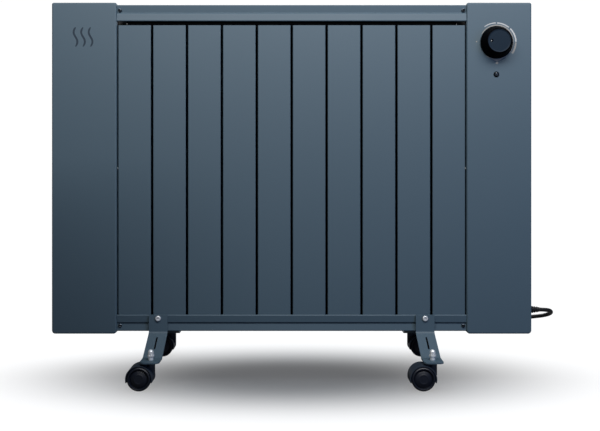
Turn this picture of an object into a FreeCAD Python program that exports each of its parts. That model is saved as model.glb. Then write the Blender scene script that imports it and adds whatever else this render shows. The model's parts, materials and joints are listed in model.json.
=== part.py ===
import FreeCAD, Part
import math
import os

# Oil filled column radiator on four twin wheel casters. One STEP file for each piece, millimetres.
# X runs along the row of fins, -Y is the front, +Z is up. The origin is on the floor, under the
# middle of the heater.

V = FreeCAD.Vector
X_AXIS = V(1, 0, 0)
Y_AXIS = V(0, 1, 0)
Z_AXIS = V(0, 0, 1)

# --- Row of fins ---------------------------------------------------------------------------------
FIN_COUNT = 10
FIN_PITCH = 60.4
FIN_GAP = 4.0             # between two front strips
FIN_SHEET = 0.8           # front and rear strips
FIN_BEND = 0.6            # inside radius of a fold
STRIP_RETURN = 6.0        # folded left edge of a strip
SCREEN_TONGUE = 6.5       # on the folded right edge, closes the view through the gap
SCREEN_GAP = 1.2          # tongue clear of the next fin's header
STRIP_SETBACK = 3.8       # strips behind the face of the end covers
STRIP_BOTTOM_INSET = 22.0  # strips' lower ends above the underside of the covers
STRIP_TOP_INSET = 38.8    # strips' upper ends below the top of the covers
WEB_THICKNESS = 1.4       # the two plies of a fin, welded together
OIL_WALL = 0.7
CHANNEL_HALF_X = 7.0      # pressed oil channel, half its thickness
CHANNEL_HALF_Y = 10.0
CHANNEL_INSET = 7.2       # outer channels clear of the strips
CHANNEL_COUNT = 3
HEADER_WEB_RADIUS = 27.0  # oil header where it leaves the web
HEADER_END_RADIUS = 20.0  # and where it is welded to the next fin
HEADER_WALL = 1.2
HEADER_BOTTOM_INSET = 74.5
HEADER_TOP_INSET = 86.5

# --- End covers ----------------------------------------------------------------------------------
COVER_WIDTH = 112.0
COVER_DEPTH = 90.0
COVER_HEIGHT = 571.8
COVER_UNDERSIDE = 74.7    # above the floor
COVER_SHEET = 0.9
COVER_BOTTOM_CORNER = 6.0
COVER_TOP_CORNER = 3.4
COVER_EDGE = 3.0          # rolled edge round the front and rear faces
COVER_FLANGE = 12.0       # folded in round the open side
PLATE_SHEET = 1.2
PLATE_LAP = 3.0           # inner plate behind the cover's flange
RIVET_RADIUS = 1.6
RIVET_HEAD_RADIUS = 3.2
RIVET_HEAD = 1.2
RIVET_ROWS = 3
CUT_PAST = 5.0            # cutting tools run this far past the sheet they pierce

# --- Rails: (setback from the cover's face, height from the rail's outer edge) --------------------
RAIL_SHEET = 1.0
RAIL_BEND = 0.6
RAIL_TOP_INSET = 3.5      # top rail below the top of the covers
RAIL_BOTTOM_INSET = 4.3   # bottom rail above the underside of the covers
RAIL_FLANGE_DEPTH = 10.8
RAIL_BAND_SETBACK = 3.2
RAIL_BAND_LEAN = 1.8
RAIL_BAND_HEIGHT = 13.4
RAIL_STEP_HEIGHT = 2.2
RAIL_LIP_SETBACK = 2.6
RAIL_LIP_LEAN = 1.5
RAIL_LIP_HEIGHT = 13.0
RAIL_HEM = 1.9
RAIL_END_GAP = 0.2
TAB_REACH = 12.0          # cover's tab behind the end of a rail
TAB_HEIGHT = 8.4
RAIL_SCREW_INSET = 5.3    # from the cover to a rail screw
RAIL_SCREW_HEIGHT = 9.3
RAIL_SCREW_RADIUS = 1.7
RAIL_SCREW_HEAD = 3.2
RAIL_SCREW_HEAD_HEIGHT = 2.2
RAIL_SCREW_LENGTH = 6.0

# --- Legs and casters -----------------------------------------------------------------------------
LEG_X = 230.0
LEG_WIDTH = 32.0
LEG_SHEET = 2.5
LEG_BEND = 5.0
LEG_TAB_DROP = 31.5       # straight tab below the lip's free edge
LEG_SLOPE_REACH = 58.0    # foot ahead of the tab
LEG_FOOT = 33.0
LEG_CORNER = 8.0
LEG_SLOT_START = 13.0     # from the tab's bend, along the slope
LEG_SLOT_LENGTH = 31.0
LEG_SLOT_WIDTH = 3.0
LEG_SCREW_DROP = 5.7
LEG_SCREW_RADIUS = 2.5
LEG_SCREW_HEAD = 4.6
LEG_SCREW_HEAD_HEIGHT = 2.9
LEG_SCREW_LENGTH = 14.0
STEM_SETBACK = 18.0       # stem from the free edge of the foot
WHEEL_RADIUS = 19.6
WHEEL_WIDTH = 11.5
WHEEL_FACE = 1.5          # closed outer face over the axle's end
WHEEL_EDGE = 2.0
WHEEL_RIM = 4.2           # flat rim round the dished face
WHEEL_RIM_SLOPE = 0.8
WHEEL_DISH = 0.9
WHEEL_DISH_DEEPEST = 1.3
WHEEL_RING_OUTER = 8.2    # raised ring in the dish
WHEEL_RING_SLOPE = 0.8
WHEEL_RING_INNER = 5.4
WHEEL_RING_DEPTH = 0.4    # ring below the rim
WHEEL_TRAIL = 17.0
RIB_HALF = 4.5
RIB_HUB_RADIUS = 12.0
WHEEL_SIDE_GAP = 0.5
HOOD_GAP = 0.8            # hood clear of the wheels, and the foot clear of the hood
FOOT_GAP = 3.5
HOOD_WALL = 1.5
HOOD_HALF = 15.5
HOOD_SKIRT = 14.0         # lower edge of the hood above the floor
NECK_RADIUS = 6.5
NECK_GAP = 0.5            # neck clear of the guard's inner face
SOCKET_FLOOR = 3.0        # under the stem's pin
AXLE_RADIUS = 2.5
AXLE_END_GAP = 0.2
RUNNING_GAP = 0.05        # radial clearance of every turning fit
SEAT_GAP = 0.02           # radial clearance of parts that do not turn on each other
STEM_THREAD_RADIUS = 3.0
STEM_PIN_RADIUS = 3.0
STEM_PIN_LENGTH = 16.4
STEM_COLLAR_RADIUS = 7.0
STEM_COLLAR = 1.6
STEM_TOP = 13.4           # bolt end above the foot, inside the dome nut
SWIVEL_GAP = 0.2
STEM_TIP = 1.0            # rounding of the bolt's end
SPACER = 5.6              # sleeve between the foot and the dome nut
SPACER_RADIUS = 4.25
NUT_FLATS = 10.0
NUT_HEIGHT = 3.4          # hexagon of the dome nut
NUT_NECK = 0.4            # groove under the dome
NUT_NECK_RADIUS = 4.1
DOME_RADIUS = 4.6
DOME_TOP = 17.4           # above the foot

# --- Controls in the right cover -----------------------------------------------------------------
CONTROL_X = 51.0          # knob and lamp from the cover's inner edge
KNOB_DROP = 69.0          # below the top of the cover
KNOB_BASE_RADIUS = 28.0
KNOB_FACE_RADIUS = 20.8
KNOB_DEPTH = 20.5
KNOB_SKIRT = 3.0
KNOB_EDGE = 1.2
KNOB_GAP = 0.4
KNOB_DISH = 0.8
KNOB_RIM = 2.0            # flat rim round the dished face
KNOB_RIM_SLOPE = 1.0
KNOB_MARK_INSET = 2.9     # rim of the finger mark from the edge of the dish
KNOB_MARK_RADIUS = 2.4
KNOB_MARK_DEPTH = 1.0
KNOB_SOCKET = 14.0
SHAFT_RADIUS = 3.0
SHAFT_INSIDE = 9.0
BUSH_RADIUS = 4.7
BUSH_HOLE_GAP = 0.3
THERMOSTAT = (42.0, 22.0, 46.0)
LAMP_DROP = 124.0
LAMP_RADIUS = 4.6
LAMP_BARREL_RADIUS = 3.8
LAMP_BARREL = 14.0
LAMP_DOME = 2.6

# --- Oil circuit and heating ----------------------------------------------------------------------
CAP_LAP = 2.0             # cap beyond the end of the header
CAP_THICKNESS = 3.0
CAP_BOSS_GAP = 0.3
CAP_BOSS_DEPTH = 6.0
ELEMENT_RADIUS = 4.0
ELEMENT_SPACING = 14.0    # between the two legs of a loop
ELEMENT_LENGTH = 520.0
TERMINAL_LENGTH = 14.0
CUTOUT_RADIUS = 8.0
CUTOUT_THICKNESS = 6.0
CUTOUT_ABOVE_HEADER = 40.0
BLOCK = (14.0, 40.0, 16.0)
BLOCK_ABOVE_HEADER = 75.0
LEAD_RADIUS = 1.3
LEAD_BEND = 6.0
LEAD_SPACING = 8.0        # between the two leads to the thermostat
LEAD_FROM_KNOB = 10.0
LEAD_FROM_ELEMENT = 16.0
LEAD_FROM_GLAND = 25.0
LEAD_EARTH_Y = 15.0       # earth lead's place on the block
LEAD_LIVE_Y = (-14.0, -7.0)

# --- Cord -----------------------------------------------------------------------------------------
CORD_DIAMETER = 7.2
GLAND_HEIGHT = 109.0
GLAND_FLANGE_RADIUS = 10.0
GLAND_FLANGE = 1.6
GLAND_RADIUS = 8.0
GLAND_LENGTH = 27.2
GLAND_HOLE_RADIUS = 7.0
GLAND_HOLE_GAP = 0.1
GLAND_TAIL = 10.0         # inside the cover
GLAND_BORE = 11.2         # the cord runs this far into the sleeve
GLAND_STRAIGHT = 0.62     # share of the sleeve that is straight, before its taper
GLAND_TIP = 0.8           # rubber round the cord at the sleeve's tip
# Bends of the lead outside the gland, from the gland to the coil's lowest point.
LEAD_POINTS = ((449.5, 0, 109), (466, 11.9, 104.5), (472, 31, 96.5), (466, 50.2, 89), (449.5, 62, 84.5),
               (427, 62.5, 82.5), (404, 60, 83.5), (382, 56, 87.5))
BEND_SHARE = 0.45         # of the shorter run at a bend is taken up by its arc
TAIL_STEPS = 4            # bends of the tail while it swings down to the plug
COIL_X = 359.0
COIL_Z = 140.0
COIL_MEAN_RADIUS = 43.0
COIL_LAYERS = 2
COIL_ROWS = 3
COIL_STAND_OFF = 5.2      # coil behind the cover's rear face
COIL_TURNS = 5.5
HOOK_RADIUS = 4.0
HOOK_PLATE = (24.0, 2.0, 34.0)
HOOK_PLATE_CORNER = 4.0
HOOK_BEND = 4.5
HOOK_PAST_COIL = 1.5
HOOK_TIP = 12.0
HOOK_CLEAR = 0.3
TIE_WIDTH = 10.0
TIE_THICKNESS = 1.5
TIE_GAP = 0.3
TIE_TRIM = 4.0            # degrees that the tie's inner tool is wider
TIE_ANGLE = 200.0         # round the coil from its right side, anticlockwise from behind
PLUG_BODY = 32.0
PLUG_RELIEF = 18.0
PLUG_RADIUS = 18.3
PLUG_WAIST = 9.5
PLUG_CHAMFER = 1.0
PLUG_RIM = 8.0            # straight rim behind the face
PLUG_RIM_SLOPE = (2.5, 3.0)
PLUG_SHOULDER = (2.5, 6.0)
PLUG_RELIEF_ROOT = 2.4    # rubber round the cord at the relief's root
PLUG_RELIEF_TIP = 0.7
PIN_RADIUS = 2.4
PIN_LENGTH = 19.0
PIN_SPACING = 19.0
PIN_ROUND = 0.7           # tip radius as a share of the pin's
PLUG_STAND_OFF = 21.5     # plug's axis behind the rearmost turn

# --- Sizes that follow ----------------------------------------------------------------------------
ROW_HALF = FIN_COUNT * FIN_PITCH / 2
FACE_Y = COVER_DEPTH / 2
COVER_TOP = COVER_UNDERSIDE + COVER_HEIGHT
COVER_OUTER = ROW_HALF + COVER_WIDTH
STRIP_Y = FACE_Y - STRIP_SETBACK
STRIP_BOTTOM = COVER_UNDERSIDE + STRIP_BOTTOM_INSET
STRIP_TOP = COVER_TOP - STRIP_TOP_INSET
HEADER_BOTTOM = COVER_UNDERSIDE + HEADER_BOTTOM_INSET
HEADER_TOP = COVER_TOP - HEADER_TOP_INSET
HEADER_BORE = HEADER_END_RADIUS - HEADER_WALL
HEADER_TAPER = (HEADER_WEB_RADIUS - HEADER_END_RADIUS) / (FIN_PITCH / 2)
SCREEN_DEPTH = (STRIP_Y - FIN_SHEET - SCREEN_GAP - HEADER_END_RADIUS
                - HEADER_TAPER * (SCREEN_TONGUE - FIN_GAP / 2))
CHANNEL_SPACING = 2 * (STRIP_Y - CHANNEL_INSET - CHANNEL_HALF_Y) / (CHANNEL_COUNT - 1)
CAP_RADIUS = HEADER_END_RADIUS + CAP_LAP
PLATE_HALF_Y = FACE_Y - COVER_FLANGE + PLATE_LAP
RAIL_LIP_TOP = RAIL_BAND_HEIGHT + RAIL_STEP_HEIGHT + RAIL_LIP_HEIGHT
RAIL_LIP_EDGE_SETBACK = RAIL_LIP_SETBACK - RAIL_LIP_LEAN
BAND_TILT = math.degrees(math.atan2(RAIL_BAND_LEAN, RAIL_BAND_HEIGHT))
BOTTOM_RAIL_Z = COVER_UNDERSIDE + RAIL_BOTTOM_INSET
TOP_RAIL_Z = COVER_TOP - RAIL_TOP_INSET
TAB_BACK_Y = FACE_Y - RAIL_LIP_EDGE_SETBACK
LEG_TOP = BOTTOM_RAIL_Z + RAIL_LIP_TOP
GUARD_INNER = WHEEL_RADIUS + HOOD_GAP
HOOD_RADIUS = GUARD_INNER + HOOD_WALL
CASTER_HEIGHT = WHEEL_RADIUS + HOOD_RADIUS + FOOT_GAP
NECK_BOTTOM = WHEEL_RADIUS + math.sqrt(GUARD_INNER ** 2 - (WHEEL_TRAIL - NECK_RADIUS) ** 2) + NECK_GAP
SOCKET_BOTTOM = CASTER_HEIGHT - STEM_COLLAR - STEM_PIN_LENGTH - SOCKET_FLOOR
FOOT_TOP = CASTER_HEIGHT + LEG_SHEET
FOOT_EDGE_Y = TAB_BACK_Y + LEG_SLOPE_REACH + LEG_FOOT
STEM_Y = FOOT_EDGE_Y - STEM_SETBACK
LEG_SCREW_Z = LEG_TOP - LEG_SCREW_DROP
KNOB_X = ROW_HALF + CONTROL_X
KNOB_Z = COVER_TOP - KNOB_DROP
LAMP_Z = COVER_TOP - LAMP_DROP
BLOCK_Z = HEADER_BOTTOM + BLOCK_ABOVE_HEADER
CORD_RADIUS = CORD_DIAMETER / 2
COIL_FRONT_Y = FACE_Y + COIL_STAND_OFF
COIL_DEPTH = COIL_ROWS * CORD_DIAMETER
COIL_BACK_Y = COIL_FRONT_Y + COIL_DEPTH
COIL_INNER = COIL_MEAN_RADIUS - COIL_LAYERS * CORD_RADIUS
COIL_OUTER = COIL_MEAN_RADIUS + COIL_LAYERS * CORD_RADIUS
OUTER_TURN = COIL_OUTER - CORD_RADIUS
FIRST_TURN_Y = COIL_FRONT_Y + CORD_RADIUS
LAST_TURN_Y = COIL_BACK_Y - CORD_RADIUS
PLUG_X = COIL_X + OUTER_TURN
PLUG_Y = LAST_TURN_Y + PLUG_STAND_OFF
PLUG_RELIEF_TOP = COIL_Z - 2 * CORD_DIAMETER
GLAND_END_X = COVER_OUTER + GLAND_LENGTH


# --- Helpers --------------------------------------------------------------------------------------
def rounded_wire(points, radii, closed):
    """Straight runs joined by tangent arcs, with one radius for each point (0 keeps it sharp)."""
    count = len(points)
    corners = []
    for i, point in enumerate(points):
        at_end = not closed and i in (0, count - 1)
        if at_end or radii[i] <= 0:
            corners.append((point, None, point))
            continue
        back = (points[i - 1] - point).normalize()
        ahead = (points[(i + 1) % count] - point).normalize()
        half_turn = (math.pi - back.getAngle(ahead)) / 2
        reach = radii[i] * math.tan(half_turn)
        inward = (back + ahead).normalize()
        middle = point + inward * (radii[i] / math.cos(half_turn) - radii[i])
        corners.append((point + back * reach, middle, point + ahead * reach))
    edges = []
    for i, (start, middle, end) in enumerate(corners):
        if middle is not None:
            edges.append(Part.Arc(start, middle, end).toShape())
        if closed or i < count - 1:
            following = corners[(i + 1) % count][0]
            if end.distanceToPoint(following) > 1e-6:
                edges.append(Part.LineSegment(end, following).toShape())
    return Part.Wire(edges)


def sheet_outline(points, thickness, bend):
    """Outline of a bent sheet. `points` run along one face, and the sheet lies on their right."""
    count = len(points)
    ways = []
    for (u0, v0), (u1, v1) in zip(points, points[1:]):
        length = math.hypot(u1 - u0, v1 - v0)
        ways.append(((u1 - u0) / length, (v1 - v0) / length))
    other = []
    near_radii = []
    far_radii = []
    for i, (u, v) in enumerate(points):
        before = ways[max(i - 1, 0)]
        after = ways[min(i, count - 2)]
        normal = (before[1] + after[1], -before[0] - after[0])
        scale = thickness / (1 + before[0] * after[0] + before[1] * after[1])
        other.append((u + normal[0] * scale, v + normal[1] * scale))
        turns_right = before[0] * after[1] - before[1] * after[0] < 0
        inner = 0 if i in (0, count - 1) else bend
        outer = 0 if i in (0, count - 1) else bend + thickness
        near_radii.append(outer if turns_right else inner)
        far_radii.append(inner if turns_right else outer)
    return points + other[::-1], near_radii + far_radii[::-1]


def prism(outline, radii, place, along):
    """Solid from a closed outline, each (u, v) put into space by `place`, pushed along a vector."""
    wire = rounded_wire([place(u, v) for u, v in outline], radii, True)
    return Part.Face(wire).extrude(along)


def box(x0, x1, y0, y1, z0, z1):
    return Part.makeBox(x1 - x0, y1 - y0, z1 - z0, V(x0, y0, z0))


def rod(radius, start, end):
    return Part.makeCylinder(radius, (end - start).Length, start, end - start)


def turned(profile, base, axis):
    """Solid of revolution: `profile` is a closed list of (radius, height) along the axis."""
    points = [V(r, 0, h) for r, h in profile]
    face = Part.Face(Part.Wire(Part.makePolygon(points + points[:1])))
    return aimed(face.revolve(V(0, 0, 0), Z_AXIS, 360), base, axis)


def aimed(shape, base, axis):
    """The shape, built on the origin and +Z, moved to a base point and turned to an axis."""
    moved = shape.copy()
    moved.Placement = FreeCAD.Placement(base, FreeCAD.Rotation(Z_AXIS, axis)).multiply(moved.Placement)
    return moved


def swept_tube(radius, points, radii):
    """Round tube along straight runs and tangent arcs."""
    path = rounded_wire(points, radii, False)
    way = (points[1] - points[0]).normalize()
    ring = Part.Wire(Part.makeCircle(radius, points[0], way))
    return path.makePipeShell([ring], True, False), path.Length


def flipped(shape, normal):
    return shape.mirror(V(0, 0, 0), normal)


def joined(shapes):
    return shapes[0].fuse(shapes[1:]).removeSplitter()


def pan_screw(head_radius, head_height, shank_radius, shank_length):
    """Pan head screw with a cross recess: the head stands on z = 0 and the shank goes down."""
    crown = head_height * 0.45
    recess = head_radius * 0.5
    blade = head_radius * 0.11
    head = Part.makeCylinder(head_radius, head_height)
    head = head.makeFillet(crown, [e for e in head.Edges if e.BoundBox.ZMin > head_height / 2])
    shank = Part.makeCylinder(shank_radius, shank_length, V(0, 0, -shank_length))
    slot = box(-recess, recess, -blade, blade, crown, head_height + 1)
    across = slot.copy()
    across.rotate(V(0, 0, 0), Z_AXIS, 90)
    return head.fuse(shank).cut(slot).cut(across)


nodes = {}


# --- Fins -----------------------------------------------------------------------------------------
def header(centre_z, wall_off):
    """Double cone of one fin's oil header, `wall_off` inside its outer surface."""
    half = FIN_PITCH / 2
    wide = HEADER_WEB_RADIUS - wall_off
    narrow = HEADER_END_RADIUS - wall_off
    profile = [(0, -half), (narrow, -half), (wide, 0), (narrow, half), (0, half)]
    return turned(profile, V(0, 0, centre_z), X_AXIS)


def channel(centre_y, half_x, half_y, bottom, top):
    """Pressed oil channel with a lens shaped section."""
    points = [V(0, centre_y - half_y, bottom), V(half_x, centre_y, bottom), V(0, centre_y + half_y, bottom),
              V(-half_x, centre_y, bottom)]
    arcs = [Part.Arc(points[0], points[1], points[2]).toShape(),
            Part.Arc(points[2], points[3], points[0]).toShape()]
    return Part.Face(Part.Wire(arcs)).extrude(V(0, 0, top - bottom))


def fin():
    """One column: web, folded strips at front and rear, pressed channels and two headers."""
    half = (FIN_PITCH - FIN_GAP) / 2
    face = [(half + SCREEN_TONGUE, SCREEN_DEPTH), (half, SCREEN_DEPTH), (half, 0), (-half, 0),
            (-half, STRIP_RETURN)]
    fold, bends = sheet_outline(face, FIN_SHEET, FIN_BEND)
    tall = V(0, 0, STRIP_TOP - STRIP_BOTTOM)
    front = prism(fold, bends, lambda u, v: V(u, v - STRIP_Y, STRIP_BOTTOM), tall)
    rear = flipped(front, Y_AXIS)
    web = box(-WEB_THICKNESS / 2, WEB_THICKNESS / 2, -STRIP_Y + FIN_SHEET / 2, STRIP_Y - FIN_SHEET / 2,
              STRIP_BOTTOM, STRIP_TOP)
    solid = [front, rear, web, header(HEADER_BOTTOM, 0), header(HEADER_TOP, 0)]
    hollow = [header(HEADER_BOTTOM, HEADER_WALL), header(HEADER_TOP, HEADER_WALL)]
    for i in range(CHANNEL_COUNT):
        y = (i - (CHANNEL_COUNT - 1) / 2) * CHANNEL_SPACING
        solid.append(channel(y, CHANNEL_HALF_X, CHANNEL_HALF_Y, HEADER_BOTTOM, HEADER_TOP))
        hollow.append(channel(y, CHANNEL_HALF_X - OIL_WALL, CHANNEL_HALF_Y - OIL_WALL,
                              HEADER_BOTTOM + OIL_WALL, HEADER_TOP - OIL_WALL))
    body = solid[0].fuse(solid[1:])
    for space in hollow:
        body = body.cut(space)
    return body


def leg_screw_holes():
    """Clearance for the four leg screws through whatever lies behind the legs."""
    holes = []
    for side_x in (-1, 1):
        front = V(side_x * LEG_X, -FACE_Y - CUT_PAST, LEG_SCREW_Z)
        rear = V(side_x * LEG_X, FACE_Y + CUT_PAST, LEG_SCREW_Z)
        holes.append(rod(LEG_SCREW_RADIUS + SEAT_GAP, front, rear))
    return holes


one_fin = fin()
for number in range(FIN_COUNT):
    placed = one_fin.translated(V((number - (FIN_COUNT - 1) / 2) * FIN_PITCH, 0, 0))
    for hole in leg_screw_holes():
        if placed.BoundBox.XMin < hole.BoundBox.XMax and hole.BoundBox.XMin < placed.BoundBox.XMax:
            placed = placed.cut(hole)
    nodes[f"fin_{number + 1:02d}"] = placed


# --- Rails ----------------------------------------------------------------------------------------
def rail_place(x, side_y, upper):
    """Puts (setback, height) of a rail's section into space, for one of the four rails."""
    edge_z = TOP_RAIL_Z if upper else BOTTOM_RAIL_Z
    way = -1 if upper else 1
    return lambda setback, height: V(x, side_y * (FACE_Y - setback), edge_z + way * height)


def rail(side_y, upper):
    """Folded rail: flange, leaning band, step, flared lip and hemmed edge."""
    face = [(RAIL_BAND_SETBACK + RAIL_FLANGE_DEPTH, 0), (RAIL_BAND_SETBACK, 0),
            (RAIL_BAND_SETBACK + RAIL_BAND_LEAN, RAIL_BAND_HEIGHT),
            (RAIL_LIP_SETBACK, RAIL_BAND_HEIGHT + RAIL_STEP_HEIGHT),
            (RAIL_LIP_EDGE_SETBACK, RAIL_LIP_TOP), (RAIL_LIP_EDGE_SETBACK + RAIL_HEM, RAIL_LIP_TOP)]
    outline, radii = sheet_outline(face, RAIL_SHEET, RAIL_BEND)
    end = ROW_HALF - RAIL_END_GAP
    body = prism(outline, radii, rail_place(-end, side_y, upper), V(2 * end, 0, 0))
    for side_x in (-1, 1):
        body = body.cut(band_hole(side_x, side_y, upper))
    if not upper:
        for hole in leg_screw_holes():
            body = body.cut(hole)
    return body


def on_band(shape, side_x, side_y, upper):
    """Moves a shape built on +Z to a rail screw's place, square to the leaning band."""
    place = rail_place(side_x * (ROW_HALF - RAIL_SCREW_INSET), side_y, upper)
    lean = RAIL_BAND_LEAN * RAIL_SCREW_HEIGHT / RAIL_BAND_HEIGHT
    spot = place(RAIL_BAND_SETBACK + lean, RAIL_SCREW_HEIGHT)
    along = place(RAIL_BAND_SETBACK + lean + RAIL_BAND_LEAN, RAIL_SCREW_HEIGHT + RAIL_BAND_HEIGHT) - spot
    outward = along.cross(X_AXIS).normalize()
    if outward.y * side_y < 0:
        outward = outward * -1
    return aimed(shape, spot, outward)


def band_hole(side_x, side_y, upper):
    """Clearance for a rail screw, square to the leaning band."""
    tool = rod(RAIL_SCREW_RADIUS + SEAT_GAP, Z_AXIS * -2 * CUT_PAST, Z_AXIS * 2 * CUT_PAST)
    return on_band(tool, side_x, side_y, upper)


for place_name, is_upper in (("top", True), ("bottom", False)):
    for side_name, side_sign in (("front", -1), ("rear", 1)):
        nodes[f"{place_name}_rail_{side_name}"] = rail(side_sign, is_upper)


# --- End covers -----------------------------------------------------------------------------------
def cover_shell(inset):
    """Closed form of an end cover on the +X side, `inset` inside its outer surface."""
    x0 = ROW_HALF + inset
    x1 = COVER_OUTER - inset
    z0 = COVER_UNDERSIDE + inset
    z1 = COVER_TOP - inset
    y = FACE_Y - inset
    low = COVER_BOTTOM_CORNER - inset
    high = COVER_TOP_CORNER - inset
    outline = [(x0, z0), (x1, z0), (x1, z1), (x0, z1)]
    body = prism(outline, [low, low, high, high], lambda u, v: V(u, -y, v), V(0, 2 * y, 0))
    rims = [e for e in body.Edges if e.BoundBox.YLength < 0.01]
    return body.makeFillet(COVER_EDGE - inset, rims)


def cover():
    """Deep drawn end cover on the +X side, with a flanged opening towards the fins and four tabs."""
    body = cover_shell(0).cut(cover_shell(COVER_SHEET))
    y = FACE_Y - COVER_FLANGE
    window = box(ROW_HALF - 1, ROW_HALF + COVER_SHEET + 1, -y, y, COVER_UNDERSIDE + COVER_FLANGE,
                 COVER_TOP - COVER_FLANGE)
    body = body.cut(window)
    for side_y in (-1, 1):
        for upper in (False, True):
            tab = box(-TAB_HEIGHT / 2, TAB_HEIGHT / 2, -(TAB_REACH - RAIL_SCREW_INSET),
                      RAIL_SCREW_INSET + COVER_SHEET / 2, -RAIL_SHEET - COVER_SHEET, -RAIL_SHEET)
            tab.rotate(V(0, 0, 0), Z_AXIS, -90)
            tab = on_band(tab, 1, side_y, upper)
            body = body.fuse(tab).cut(band_hole(1, side_y, upper))
    for z in rivet_heights():
        for side_y in (-1, 1):
            body = body.cut(rivet_hole(side_y, z))
    return body


def rivet_heights():
    low = COVER_UNDERSIDE + 2 * COVER_FLANGE
    high = COVER_TOP - 2 * COVER_FLANGE
    return [low + (high - low) * i / (RIVET_ROWS - 1) for i in range(RIVET_ROWS)]


def rivet_y():
    return FACE_Y - COVER_FLANGE + PLATE_LAP / 2 + RIVET_RADIUS / 2


def rivet_hole(side_y, z):
    return rod(RIVET_RADIUS + SEAT_GAP, V(ROW_HALF - CUT_PAST, side_y * rivet_y(), z),
               V(ROW_HALF + CUT_PAST, side_y * rivet_y(), z))


def rivets():
    """Pop rivets on the +X side that hold the inner plate to the cover's flange."""
    group = []
    for z in rivet_heights():
        for side_y in (-1, 1):
            start = V(ROW_HALF - PLATE_SHEET, side_y * rivet_y(), z)
            face = V(ROW_HALF + COVER_SHEET, side_y * rivet_y(), z)
            head_end = face + V(RIVET_HEAD, 0, 0)
            group.append(rod(RIVET_RADIUS, start, face).fuse(rod(RIVET_HEAD_RADIUS, face, head_end)))
    return group


def inner_plate():
    """Plate on the +X side between the last fin and the cover, pierced for the two headers."""
    lap = COVER_FLANGE - PLATE_LAP
    body = box(ROW_HALF - PLATE_SHEET, ROW_HALF, -PLATE_HALF_Y, PLATE_HALF_Y, COVER_UNDERSIDE + lap,
               COVER_TOP - lap)
    for z in (HEADER_BOTTOM, HEADER_TOP):
        body = body.cut(rod(HEADER_BORE, V(ROW_HALF - CUT_PAST, 0, z), V(ROW_HALF + CUT_PAST, 0, z)))
    for z in rivet_heights():
        for side_y in (-1, 1):
            body = body.cut(rivet_hole(side_y, z))
    return body


plain_cover = cover()
plain_plate = inner_plate()
nodes["left_cover"] = flipped(plain_cover, X_AXIS)
nodes["left_inner_plate"] = flipped(plain_plate, X_AXIS)
nodes["right_inner_plate"] = plain_plate
nodes["plate_rivets"] = Part.makeCompound(rivets() + [flipped(r, X_AXIS) for r in rivets()])

# The two end headers stop at the inner plates.
for name in ("fin_01", f"fin_{FIN_COUNT:02d}"):
    nodes[name] = nodes[name].common(box(-ROW_HALF + PLATE_SHEET, ROW_HALF - PLATE_SHEET, -FACE_Y, FACE_Y,
                                         0, COVER_TOP))

knob_axis = V(KNOB_X, -FACE_Y, KNOB_Z)
lamp_axis = V(KNOB_X, -FACE_Y, LAMP_Z)
gland_axis = V(COVER_OUTER, 0, GLAND_HEIGHT)
right_cover = plain_cover
for radius, spot, way in ((BUSH_RADIUS + BUSH_HOLE_GAP, knob_axis, Y_AXIS),
                          (LAMP_BARREL_RADIUS + SEAT_GAP, lamp_axis, Y_AXIS),
                          (GLAND_HOLE_RADIUS, gland_axis, X_AXIS)):
    right_cover = right_cover.cut(rod(radius, spot - way * CUT_PAST, spot + way * CUT_PAST))
nodes["right_cover"] = right_cover

rail_screw = pan_screw(RAIL_SCREW_HEAD, RAIL_SCREW_HEAD_HEIGHT, RAIL_SCREW_RADIUS, RAIL_SCREW_LENGTH)
nodes["rail_screws"] = Part.makeCompound([on_band(rail_screw, sx, sy, up) for sx in (-1, 1)
                                          for sy in (-1, 1) for up in (False, True)])


# --- Legs -----------------------------------------------------------------------------------------
def stem_hole():
    """Clearance for a stem's thread, on the origin."""
    return rod(STEM_THREAD_RADIUS + SEAT_GAP, V(0, 0, 0), V(0, 0, FOOT_TOP + STEM_TOP))


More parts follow.
